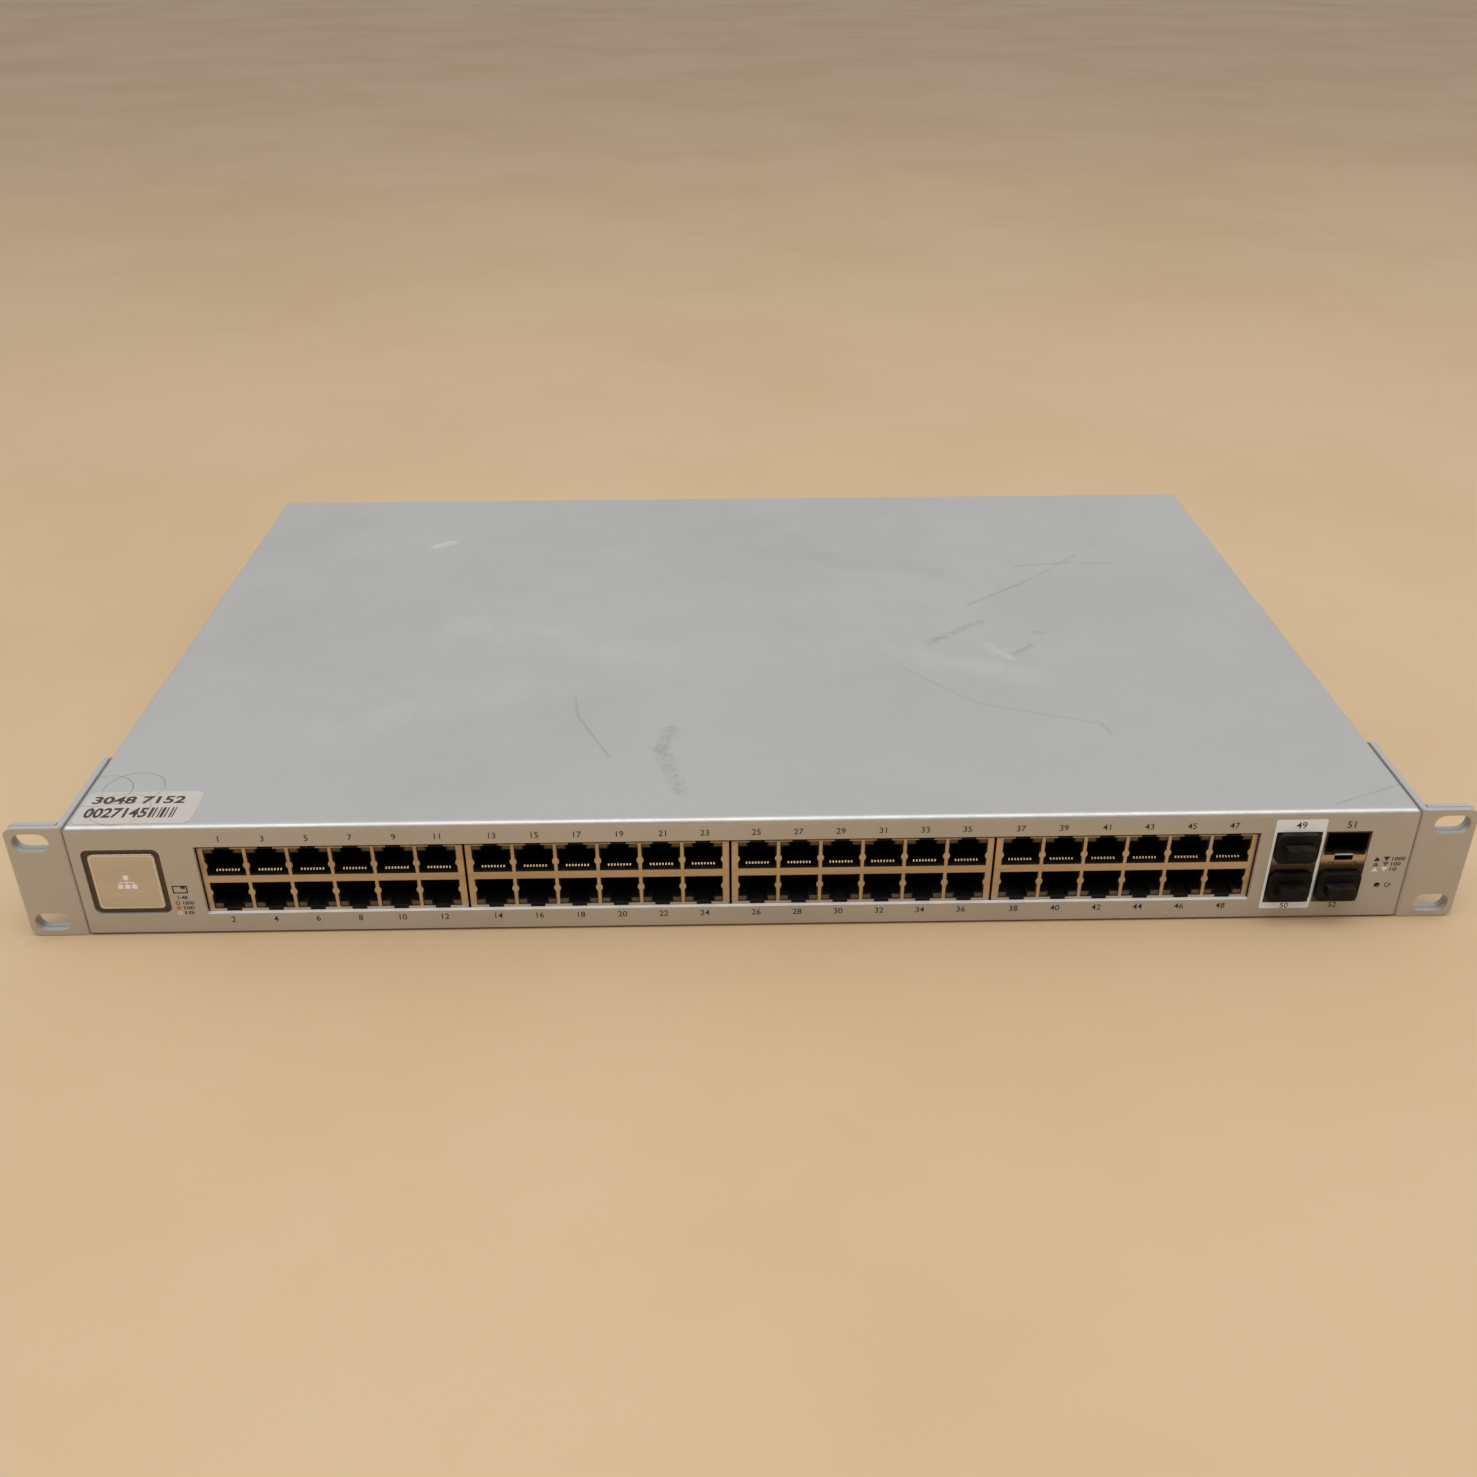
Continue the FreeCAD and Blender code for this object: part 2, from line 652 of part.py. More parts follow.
def contact_wire():
    """One contact: a short foot, a rounded nose near the mouth and a long spring run, as a bent strip."""
    thick = 0.3
    wide = 0.46
    foot, nose, end = Vector(0, 1.3, 0.25), Vector(0, 1.8, 0.7), Vector(0, 12.6, 2.45)
    line = [foot, nose, end]
    above = [point + Vector(0, 0, thick) for point in reversed(line)]
    outline = Part.Face(Part.makePolygon(line + above + line[:1]))
    outline.translate(Vector(-wide / 2, 0, 0))
    return outline.extrude(Vector(wide, 0, 0))


CONTACT_PITCH = 1.02


def make_blocks():
    """Four blocks, with their contacts and light windows as two groups."""
    shield = make_shield()
    housing = make_housing()
    for number, x in enumerate(BLOCK_X, 1):
        keep(f"jack_shield_{number}", placed(f"shield_{number}", shield, shift(x, 0, 0)))
        keep(f"jack_housing_{number}", placed(f"housing_{number}", housing, shift(x, 0, 0)))
    near = SIZES["row_half_gap"] + SIZES["cavity_start"]
    wire = contact_wire()
    flipped = wire.mirror(Vector(), Vector(0, 0, 1))
    contacts = []
    windows = []
    top = near + SIZES["cavity_tall"] + 0.35
    for block_x in BLOCK_X:
        for port_x in PORT_X:
            x = block_x + port_x
            for row in (0, 1):
                sign = row_sign(row)
                strip = wire if row else flipped
                for pin in range(8):
                    place = shift(x + (pin - 3.5) * CONTACT_PITCH, BLOCK_FRONT,
                                  SIZES["row_middle"] + sign * near)
                    contacts.append(moved(strip, place))
                low, tall = span(sign, top, top + SIZES["window_tall"])
                for side in (-1, 1):
                    corner = Vector(x + side * SIZES["window_offset"] - SIZES["window_wide"] / 2,
                                    BLOCK_FRONT + SIZES["shield_gauge"] + 0.1, low)
                    windows.append(Part.makeBox(SIZES["window_wide"], SIZES["window_deep"], tall, corner))
    for name, solids in (("jack_contacts", contacts), ("jack_led_windows", windows)):
        piece = doc.addObject("Part::Feature", f"{name}_group")
        piece.Shape = Part.makeCompound(solids)
        keep(name, piece)


# ---------------------------------------------------------------- the uplinks

PIPE_OFFSET = 3.75
PIPE_Z = 22.4
PIPE_SET = 0.15
CAGE_FRONT = FRONT + 0.1


def arrow(name, x, start, radius, deep):
    """A triangular bar that points down."""
    piece = doc.addObject("Part::Prism", name)
    piece.Polygon = 3
    bind(piece, ("Circumradius", "Height"), (radius, deep))
    at(piece, (x, start, PIPE_Z), Rotation(Vector(0, 1, 0), 90) * ALONG_Y)
    return piece


def make_cage():
    """A stacked cage for two modules, with a folded panel and a latch tongue between its mouths."""
    outer = box("cage_block", ("-cage_wide / 2", CAGE_FRONT, "board_low + board_gauge"),
                ("cage_wide", "cage_deep", "cage_high - board_low - board_gauge"))
    outer = rounded("cage_outside", outer, 0.4, lambda p, run: run.y > 0.9)
    tools = []
    for rise in ("0", "cage_mouth_rise"):
        tools.append(box("cage_mouth", ("-cage_mouth_wide / 2", CAGE_FRONT - 1, f"cage_mouth_low + {rise}"),
                         ("cage_mouth_wide", "cage_deep + 1 - cage_wall", "cage_mouth_tall")))
    middle_low = SIZES["cage_mouth_low"] + SIZES["cage_mouth_tall"]
    left, front = "-cage_wide / 2 + cage_wall", f"{CAGE_FRONT} + cage_wall"
    wide, deep = "cage_wide - 2 * cage_wall", "cage_deep - 2 * cage_wall"
    tools.append(box("cage_middle", (left, front, f"{middle_low} + cage_wall"),
                     (wide, deep, "cage_mouth_rise - cage_mouth_tall - 2 * cage_wall")))
    tools.append(box("cage_bottom", (left, front, "board_low + board_gauge + cage_wall"),
                     (wide, deep, "cage_mouth_low - board_low - board_gauge - 2 * cage_wall")))
    tools.append(box("cage_latch_slot", (-3.1, CAGE_FRONT - 1, 23.7), (6.2, 4, 2.0)))
    tools.append(box("cage_fold_line", (-5.6, CAGE_FRONT - 1, 19.6), (11.2, 1.25, 0.7)))
    for side in (-1, 1):
        tools.append(arrow("pipe_hole", side * PIPE_OFFSET, CAGE_FRONT - 1, 1.3, 3))
    shell = cut("cage_shell", outer, tools)
    tongue = box("cage_tongue", (-3.0, f"{CAGE_FRONT} + 0.05", 25.75), (6.0, 6.0, 0.45))
    return fuse("cage", [shell, tongue])


def make_dust_plug(name, x, z):
    """A black plug: flange, ribbed grip and hollow insert. Built round its mouth's middle, then placed."""
    body = doc.addObject("PartDesign::Body", name)
    face = new_sketch(body, f"{name}_face", "XZ_Plane")
    rectangle(face, ("-plug_wide / 2", "-plug_drop - plug_tall / 2"),
              ("plug_wide / 2", "-plug_drop + plug_tall / 2"))
    flange = pad(body, f"{name}_flange", face, "plug_flange")
    flange = corner_fillet(body, f"{name}_corners", flange, "plug_corner", lambda p, run: run.y > 0.9)
    flange = corner_fillet(body, f"{name}_rim", flange, 0.4, lambda p, run: p.y < EPS - SIZES["plug_flange"])
    hold = new_sketch(body, f"{name}_hold", "XZ_Plane")
    rectangle(hold, ("-grip_wide / 2", "-plug_drop - grip_tall / 2"),
              ("grip_wide / 2", "-plug_drop + grip_tall / 2"))
    grip = pad(body, f"{name}_grip", hold, "plug_flange + grip_deep")
    front = -SIZES["plug_flange"] - SIZES["grip_deep"]
    grip = corner_fillet(body, f"{name}_grip_ends", grip, 1.0,
                         lambda p, run: run.z > 0.9 and p.y < front + EPS)
    stem = new_sketch(body, f"{name}_stem", "XZ_Plane")
    rectangle(stem, ("-plug_insert_wide / 2", "-plug_insert_tall / 2 + 0.3"),
              ("plug_insert_wide / 2", "plug_insert_tall / 2 + 0.3"))
    pad(body, f"{name}_insert", stem, "plug_insert_deep", True)
    core = new_sketch(body, f"{name}_core", "XZ_Plane")
    rectangle(core, ("-plug_insert_wide / 2 + plug_wall", "-plug_insert_tall / 2 + 0.3 + plug_wall"),
              ("plug_insert_wide / 2 - plug_wall", "plug_insert_tall / 2 + 0.3 - plug_wall"))
    body.Tip = pocket(body, f"{name}_hollow", core, "plug_insert_deep", False)
    body.Placement = shift(x, FRONT - 0.05, z)
    return body


def make_uplinks():
    cage = make_cage()
    for number, x in enumerate(CAGE_X, 1):
        keep(f"uplink_cage_{number}", placed(f"cage_{number}", cage, shift(x, 0, 0)))
    pipe = arrow("light_pipe", 0, CAGE_FRONT + PIPE_SET, 1.2, 6)
    places = [shift(x + side * PIPE_OFFSET, 0, 0) for x in CAGE_X for side in (-1, 1)]
    keep("uplink_light_pipes", scatter("light_pipe_group", pipe, places))
    lower = SIZES["cage_mouth_low"] + SIZES["cage_mouth_tall"] / 2
    upper = lower + SIZES["cage_mouth_rise"]
    for number, (x, z) in enumerate(((CAGE_X[0], upper), (CAGE_X[0], lower), (CAGE_X[1], lower)), 1):
        keep(f"dust_plug_{number}", make_dust_plug(f"plug_{number}", x, z))


def make_reset():
    """A side-pressed switch on the board, its button just behind the pinhole."""
    x, z = SIZES["reset_x"], SIZES["reset_z"]
    block = box("switch_block", (x - 3, FRONT + 5, BOARD_TOP), (6, 4.5, 9.2))
    bore = cylinder("switch_bore", (x, FRONT + 4, z), 1.27, 3.4, ALONG_Y)
    keep("reset_switch_body", cut("switch_body", block, [bore]))
    button = cylinder("button_bar", (x, FRONT + 2.2, z), 1.2, 4.5, ALONG_Y)
    keep("reset_button", rounded("button", button, 0.3, lambda p, run: p.y < FRONT + 2.21))


# ---------------------------------------------------------------- the main board

BOARD_X = (-214.0, 216.0)
BOARD_Y = (FRONT + 3.0, 6.0)
STANDOFF_X = (-206.0, -69.0, 69.0, 212.5)
STANDOFF_Y = (-92.0, -3.0)
STANDOFFS = [(x, y) for x in STANDOFF_X for y in STANDOFF_Y]
SUPPLY_X = (-214.0, -118.0)
SUPPLY_Y = (30.0, 134.0)
SUPPLY_LOW = 7.2
SUPPLY_STANDOFFS = [(x, y) for x in (-209.0, -123.0) for y in (35.0, 129.0)]
SUPPLY_TOP = SUPPLY_LOW + SIZES["board_gauge"]
SOCKET_Y = -3.0
SOCKETS = ((-150.0, 22.0, 9.0, 7.5), (FAN_X[0], 8.0, 6.0, 6.5), (FAN_X[1], 8.0, 6.0, 6.5))


def standoff(name, tall):
    """A hexagonal spacer with a threaded bore."""
    hexagon = doc.addObject("Part::Prism", f"{name}_hexagon")
    hexagon.Polygon = 6
    bind(hexagon, ("Circumradius", "Height"), (2.9, tall))
    return cut(name, hexagon, [cylinder(f"{name}_bore", (0, 0, -1), 1.3, tall + 2)])


def board_body(name, low, high, z, gauge, holes, hole_radius):
    """A circuit board as a padded sketch with its screw holes pocketed."""
    body = doc.addObject("PartDesign::Body", name)
    outline = new_sketch(body, f"{name}_outline", "XY_Plane")
    rectangle(outline, low, high)
    pad(body, f"{name}_pad", outline, gauge)
    drilling = new_sketch(body, f"{name}_drilling", "XY_Plane")
    for x, y in holes:
        circle = drilling.addGeometry(Part.Circle(Vector(x, y, 0), Vector(0, 0, 1), hole_radius), False)
        drilling.addConstraint(Sketcher.Constraint("Radius", circle, hole_radius))
    body.Tip = pocket(body, f"{name}_holes", drilling, f"{gauge} + 1", True)
    body.Placement = shift(0, 0, z)
    return body


def heatsink():
    """An extruded heat sink: a base with grooves cut between its fins."""
    base, tall, wide, long, fins = 3.0, 17.0, 66.0, 56.0, 12
    fin = 1.8
    pitch = (wide - fin) / (fins - 1)
    body = doc.addObject("PartDesign::Body", "heatsink")
    outline = new_sketch(body, "heatsink_outline", "XZ_Plane")
    rectangle(outline, (-wide / 2, 0), (wide / 2, tall))
    pad(body, "heatsink_block", outline, long)
    groove = new_sketch(body, "heatsink_groove", "XZ_Plane")
    rectangle(groove, (-wide / 2 + fin, base), (-wide / 2 + pitch, tall + 1))
    first = pocket(body, "heatsink_first_groove", groove, long, True)
    row = body.newObject("PartDesign::LinearPattern", "heatsink_grooves")
    row.Originals = [first]
    row.Direction = (groove, ["H_Axis"])
    row.Length = pitch * (fins - 2)
    row.Occurrences = fins - 1
    body.Tip = row
    return body


def chips():
    """The port chips in a row behind the jacks, the control chip, its memory and the uplink chip."""
    listed = [(x, -78.0, 20.0, 20.0, 1.6) for x in (-164.0, -108.0, -40.0, 16.0, 98.0, 150.0)]
    listed += [(-96.0, -36.0, 17.0, 17.0, 1.4), (-122.0, -36.0, 10.0, 12.5, 1.1),
               (-122.0, -18.0, 10.0, 12.5, 1.1), (190.0, -82.0, 14.0, 14.0, 1.2)]
    return [box("chip", (x - wide / 2, y - deep / 2, BOARD_TOP), (wide, deep, tall))
            for x, y, wide, deep, tall in listed]


def upright_can(name, radius, tall):
    """An electrolytic capacitor: a can with a crimp groove near its base."""
    can = cylinder(f"{name}_can", (0, 0, 0), radius, tall)
    rolled = rounded(f"{name}_rolled", can, 0.6, lambda p, run: p.z > tall - EPS)
    ring = doc.addObject("Part::Torus", f"{name}_crimp")
    bind(ring, ("Radius1", "Radius2"), (radius + 0.25, 0.6))
    at(ring, (0, 0, 2.4))
    return cut(name, rolled, [ring])


def make_main_board():
    low = (BOARD_X[0], BOARD_Y[0])
    high = (BOARD_X[1], BOARD_Y[1])
    keep("main_board", board_body("board", low, high, SIZES["board_low"], "board_gauge", STANDOFFS, 1.6))
    tall = SIZES["board_low"] - SIZES["gauge"]
    keep("board_standoffs", scatter("board_standoff_group", standoff("board_standoff", tall),
                                    [shift(x, y, SIZES["gauge"]) for x, y in STANDOFFS]))
    screw = pan_screw("board_screw", 2.7, 1.8, 1.25, 4.0)
    places = [shift(x, y, BOARD_TOP) for x, y in STANDOFFS]
    places += [shift(x, y, SUPPLY_TOP) for x, y in SUPPLY_STANDOFFS]
    keep("board_screws", scatter("board_screw_group", screw, places))
    module_block = box("module_block", (-6, -8, 0), (12, 16, 5.8))
    module = rounded("transformer_module", module_block, 0.5, lambda p, run: p.z > 5.7)
    y = BLOCK_FRONT + SIZES["block_deep"] + 10.5
    places = [shift(block + port, y, BOARD_TOP) for block in BLOCK_X for port in PORT_X]
    keep("line_transformers", scatter("transformer_module_group", module, places))
    keep("board_chips", compound("board_chip_group", chips()))
    switch = box("switch_chip_block", (-19, -57, BOARD_TOP), (38, 38, 2.4))
    keep("switch_chip", switch)
    sink = heatsink()
    sink.Placement = shift(0, -10, BOARD_TOP + 2.4)
    keep("switch_heatsink", sink)
    coil = rounded("coil", box("coil_block", (-5, -5, 0), (10, 10, 5.2)), 1.2, lambda p, run: run.z > 0.9)
    keep("board_inductors", scatter("coil_group", coil,
                                    [shift(96 + 14 * step, -34, BOARD_TOP) for step in range(6)]))
    keep("board_capacitors", scatter("small_can_group", upright_can("small_can", 4.0, 11.5),
                                     [shift(92 + 13 * step, -14, BOARD_TOP) for step in range(7)]))
    sockets = []
    for x, wide, deep, tall in SOCKETS:
        front = SOCKET_Y - deep / 2
        shell = box("socket_block", (x - wide / 2, front, BOARD_TOP), (wide, deep, tall))
        well = box("socket_well", (x - wide / 2 + 1, front + 1, BOARD_TOP + 2), (wide - 2, deep - 2, tall))
        sockets.append(cut("socket", shell, [well]))
    keep("board_sockets", compound("socket_group", sockets))


# ---------------------------------------------------------------- the power supply

TRANSFORMER = (-150.0, 68.0)
HEATSINKS = (("primary_heatsink", -173.5, 66.0), ("secondary_heatsink", -127.5, 66.0))
TRANSISTORS = ((-179.55, 48.0), (-179.55, 86.0), (-125.95, 50.0), (-125.95, 80.0))


def supply_heatsink(name, x, y):
    """An upright aluminium plate with a short foot."""
    plate = box(f"{name}_plate", (x - 1.5, y - 27, SUPPLY_TOP), (3, 54, 26))
    foot = box(f"{name}_foot", (x - 1.5, y - 27, SUPPLY_TOP), (9, 54, 2))
    return fuse(name, [plate, foot])


def core_clearance(x, y):
    """The transformer's middle leg, with room for the bobbin round it."""
    return box("leg_room", (x - 5.05, y - 8.05, SUPPLY_TOP), (10.1, 16.1, 30))


def make_supply():
    keep("supply_board", board_body("supply", (SUPPLY_X[0], SUPPLY_Y[0]), (SUPPLY_X[1], SUPPLY_Y[1]),
                                    SUPPLY_LOW, "board_gauge", SUPPLY_STANDOFFS, 1.6))
    tall = SUPPLY_LOW - SIZES["gauge"]
    keep("supply_standoffs", scatter("supply_standoff_group", standoff("supply_standoff", tall),
                                     [shift(x, y, SIZES["gauge"]) for x, y in SUPPLY_STANDOFFS]))
    film = box("film_block", (SUPPLY_X[0] - 2, SUPPLY_Y[0] - 2, SIZES["gauge"]), (100, 108, 0.4))
    clear = [cylinder("film_hole", (x, y, 0), 4.0, 4) for x, y in SUPPLY_STANDOFFS]
    keep("insulating_sheet", cut("film", film, clear))
    x, y = TRANSFORMER
    core = box("core_block", (x - 16, y - 8, SUPPLY_TOP + 2), (32, 16, 26))
    windows = [box("core_window", (x + side * 8.5 - 3.5, y - 9, SUPPLY_TOP + 7), (7, 18, 16))
               for side in (-1, 1)]
    keep("transformer_core", cut("core", core, windows))
    winding = box("winding_block", (x - 11.9, y - 15, SUPPLY_TOP + 7.1), (23.8, 30, 15.8))
    winding = rounded("winding_rounded", winding, 5.0, lambda p, run: run.z > 0.9)
    keep("transformer_winding", cut("winding", winding, [core_clearance(x, y)]))
    keep("bulk_capacitors", scatter("large_can_group", upright_can("large_can", 9.0, 29.0),
                                    [shift(-190, 52, SUPPLY_TOP), shift(-190, 74, SUPPLY_TOP)]))
    choke = doc.addObject("Part::Torus", "choke_ring")
    bind(choke, ("Radius1", "Radius2"), (7.5, 4.0))
    at(choke, (-196.0, 98.0, SUPPLY_TOP + 4.0))
    keep("filter_choke", choke)
    keep("supply_heatsinks", compound("supply_heatsink_group", [
        supply_heatsink(name, x, y) for name, x, y in HEATSINKS]))
    keep("power_transistors", compound("power_transistor_group", [
        box("power_transistor", (left, y - 5, SUPPLY_TOP + 6), (4.5, 10, 15)) for left, y in TRANSISTORS]))
    keep("output_capacitors", scatter("output_can_group", upright_can("output_can", 4.0, 16.0),
                                      [shift(-160 + 10 * step, 40, SUPPLY_TOP) for step in range(3)]))


# ---------------------------------------------------------------- the rear panel's pieces

PIN_PLACES = ((-7.0, -2.0), (7.0, -2.0), (0.0, 2.0))


def make_inlet():
    """A three-pin inlet: a screwed flange, a body with a cavity open to the rear, and its pins."""
    x, z = SIZES["inlet_x"], SIZES["inlet_z"]
    flange = box("inlet_flange_block",
                 ("inlet_x - inlet_flange_wide / 2", REAR, "inlet_z - inlet_flange_tall / 2"),
                 ("inlet_flange_wide", "inlet_flange", "inlet_flange_tall"))
    flange = rounded("inlet_flange_rounded", flange, 5.0, lambda p, run: run.y > 0.9)
    body = box("inlet_body", ("inlet_x - inlet_body_wide / 2", REAR - 20, "inlet_z - inlet_body_tall / 2"),
               ("inlet_body_wide", 21, "inlet_body_tall"))
    mouth = box("inlet_mouth", (x - 12.2, REAR - 15.5, z - 8.2), (24.4, 20, 16.4))
    mouth = rounded("inlet_mouth_rounded", mouth, 4.0, lambda p, run: run.y > 0.9 and p.z > z)
    holes = [mouth]
    screw_x = [x + side * SIZES["inlet_screw_pitch"] / 2 for side in (-1, 1)]
    for place in screw_x:
        holes.append(cylinder("inlet_hole", (place, REAR - 1, z), 1.7, 5, ALONG_Y))
    for dx, dz in PIN_PLACES:
        holes.append(box("pin_seat", (x + dx - 1.0, REAR - 22, z + dz - 2.0), (2.0, 10, 4.0)))
    keep("inlet_housing", cut("inlet", fuse("inlet_whole", [flange, body]), holes))
    pins = []
    for dx, dz in PIN_PLACES:
        bar = box("pin_block", (x + dx - 1.0, REAR - 24, z + dz - 2.0), (2.0, 20.5, 4.0))
        pins.append(rounded("inlet_pin", bar, 0.6, lambda p, run: p.y > REAR - 3.6))
    keep("inlet_pins", compound("inlet_pin_group", pins))
    screw = pan_screw("inlet_screw", 2.9, 1.8, 1.5, 7.0)
    keep("inlet_screws", scatter("inlet_screw_group", screw, [
        shift(place, REAR + SIZES["inlet_flange"], z, ALONG_Y) for place in screw_x]))
    earth = pan_screw("earth_screw_master", 3.9, 2.4, 2.0, 8.0)
    keep("earth_screw", placed("earth_screw_placed", earth, shift(EARTH_X, REAR, EARTH_Z, ALONG_Y)))


HARNESS_STRANDS = 4
HARNESS_PITCH = 3.0
HARNESS_BACK_X = -128.0
HARNESS_FRONT_X = -145.5


def make_leads():
    """The leads that the case holds all the way."""
    x, z = SIZES["inlet_x"], SIZES["inlet_z"]
    wires = []
    for number, (dx, dz) in enumerate(PIN_PLACES):
        top = Vector(x + dx, REAR - 24.0, z + dz)
        down = Vector(x + dx, REAR - 34.0, z + dz)
        foot = Vector(x + dx, REAR - 34.0, SUPPLY_TOP)
        wires.append(cable(f"inlet_wire_{number}", [top, down, foot], 1.1, 4.0))
    keep("inlet_wires", compound("inlet_wire_group", wires))
    strands = []
    for step in range(HARNESS_STRANDS):
        offset = step * HARNESS_PITCH
        start = Vector(HARNESS_BACK_X - offset, 33.0, SUPPLY_TOP)
        up = start + Vector(0, 0, 7)
        over = Vector(HARNESS_FRONT_X - 0.5 - offset, 14.0, SUPPLY_TOP + 7)
        above = Vector(HARNESS_FRONT_X - offset, SOCKET_Y, SUPPLY_TOP + 7)
        down = Vector(HARNESS_FRONT_X - offset, SOCKET_Y, BOARD_TOP + 3)
        strands.append(cable(f"supply_strand_{step}", [start, up, over, above, down], 0.9, 2.5))
    keep("supply_harness", compound("supply_strand_group", strands))
    leads = []
    for number, fan_x in enumerate(FAN_X):
        socket = Vector(fan_x, SOCKET_Y, BOARD_TOP + 3)
        up = Vector(fan_x, SOCKET_Y, BOARD_TOP + 10)
        back = Vector(fan_x, 90.0, BOARD_TOP + 10)
        aside = Vector(fan_x - 16.0, 110.0, BOARD_TOP + 10)
        end = Vector(fan_x - 16.0, FAN_FRONT, BOARD_TOP + 10)
        leads.append(cable(f"fan_lead_{number}", [socket, up, back, aside, end], 1.2, 4.0))
    keep("fan_leads", compound("fan_lead_group", leads))


def make_fan_frame():
    """A square frame with a round duct, four corner holes, and a motor cup on four struts."""
    front, back = FAN_FRONT, FAN_BACK
    block = box("fan_block", ("-fan_side / 2", front, "fan_z - fan_side / 2"),
                ("fan_side", "fan_deep", "fan_side"))
    block = rounded("fan_block_rounded", block, 3.0, lambda p, run: run.y > 0.9)
    through = "fan_deep + 2"
    holes = [cylinder("fan_duct", (0, front - 1, "fan_z"), "fan_bore", through, ALONG_Y)]
    for side in (-1, 1):
        for end in (-1, 1):
            corner = (f"{side} * fan_screw_pitch / 2", front - 1, f"fan_z + {end} * fan_screw_pitch / 2")
            holes.append(cylinder("fan_corner_hole", corner, 2.15, through, ALONG_Y))
    frame = cut("fan_square", block, holes)
    cup = cylinder("fan_cup", (0, back - 3.0, "fan_z"), 9.0, 3.0, ALONG_Y)
    post = cylinder("fan_post", (0, back - 12.0, "fan_z"), 3.0, 12.0, ALONG_Y)
    struts = []
    long, deep, tall = 38.6, 2.6, 2.0
    for turn in (45.0, 135.0):
        strut = doc.addObject("Part::Box", "fan_strut")
        strut.Length, strut.Width, strut.Height = long, deep, tall
        spin = Placement(Vector(0, back - deep, SIZES["fan_z"]), Rotation(Vector(0, 1, 0), turn))
        strut.Placement = spin * Placement(Vector(-long / 2, 0, -tall / 2), Rotation())
        struts.append(strut)
    bore = cylinder("fan_bearing", (0, back - 13.0, "fan_z"), 1.55, 11.0, ALONG_Y)
    return cut("fan_frame", fuse("fan_frame_whole", [frame, cup, post] + struts), [bore])


def make_fan_rotor():
    """The hub, its shaft and seven twisted blades."""
    front, back = FAN_FRONT, FAN_BACK
    hub = cylinder("hub", (0, front + 1.5, "fan_z"), 9.0, back - 3.6 - front - 1.5, ALONG_Y)
    hub = rounded("hub_rounded", hub, 0.8, lambda p, run: p.y < front + 1.6)
    room = cylinder("hub_room", (0, front + 3.5, "fan_z"), 7.6, 20.0, ALONG_Y)
    shaft = cylinder("fan_shaft", (0, front + 2.5, "fan_z"), 1.5, back - front - 6.5, ALONG_Y)
    cup = cut("hub_cup", hub, [room])
    blades = []
    reach, chord, thick = 10.2, 15.0, 1.1
    pitched = Placement(Vector(), Rotation(Vector(1, 0, 0), BLADE_ANGLE))
    centred = Placement(Vector(8.2, -chord / 2, -thick / 2), Rotation())
    for number in range(BLADES):
        blade = doc.addObject("Part::Box", "fan_blade")
        blade.Length, blade.Width, blade.Height = reach, chord, thick
        turned = Rotation(Vector(0, 1, 0), 360.0 / BLADES * number)
        blade.Placement = Placement(Vector(0, front + 8.6, SIZES["fan_z"]), turned) * pitched * centred
        blades.append(blade)
    envelope = cylinder("blade_envelope", (0, front + 2.0, "fan_z"), 18.2, 13.2, ALONG_Y)
    hollow = cylinder("blade_inner", (0, front, "fan_z"), 8.6, 20, ALONG_Y)
    ring = cut("blade_ring", envelope, [hollow])
    trimmed = [common(f"blade_{number}", [blade, ring]) for number, blade in enumerate(blades)]
    return fuse("fan_rotor", [cup, shaft] + trimmed)


def make_fans():
    frame = make_fan_frame()
    rotor = make_fan_rotor()
    for number, x in enumerate(FAN_X, 1):
        keep(f"fan_frame_{number}", placed(f"frame_{number}", frame, shift(x, 0, 0)))
        keep(f"fan_rotor_{number}", placed(f"rotor_{number}", rotor, shift(x, 0, 0)))
    screw = pan_screw("fan_screw", 2.9, 1.8, 1.85, 9.0)
    half = SIZES["fan_screw_pitch"] / 2
    places = [shift(x + side * half, REAR, SIZES["fan_z"] + end * half, ALONG_Y)
              for x in FAN_X for side in (-1, 1) for end in (-1, 1)]
    keep("fan_screws", scatter("fan_screw_group", screw, places))


def make_sticker():
    """A thin label with rounded corners at the cover's front left corner."""
    blank = box("sticker_blank", ("sticker_left", "-depth / 2 + sticker_setback", "height"),
                ("sticker_wide", "sticker_deep", "sticker_thick"))
    keep("asset_sticker", rounded("sticker", blank, 2.8, lambda p, run: run.z > 0.9))


# ---------------------------------------------------------------- build, check and write

make_case()
make_plate()
make_blocks()
make_uplinks()
make_reset()
make_main_board()
make_supply()
make_inlet()
make_fans()
make_leads()
make_sticker()
doc.recompute()

for thing in doc.Objects:
    if "Invalid" in thing.State or "Error" in thing.State:
        raise RuntimeError(f"{thing.Label} failed: {thing.State}")
for label, piece in nodes.items():
    if piece.Shape.isNull() or not piece.Shape.isValid() or not piece.Shape.Solids:
        raise RuntimeError(f"{label} has no valid solid")

os.makedirs("parts", exist_ok=True)
for label, piece in nodes.items():
    piece.Shape.exportStep(f"parts/{label}.step")
    print(label, len(piece.Shape.Solids), round(piece.Shape.Volume))
print(len(nodes), "nodes")
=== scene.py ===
# %% [markdown]
# # The looks of a 48-port rackmount network switch
#
# The metal parts, the jacks and everything that moves come ready-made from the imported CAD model.
# This lesson gives each of them a finish, adds the printing, the light symbol and the sticker's marks,
# and then sets up a floor, soft light and a camera.
#
# Its box is noted at once, because the finished looks have to stay inside it.

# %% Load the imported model
import json
import math

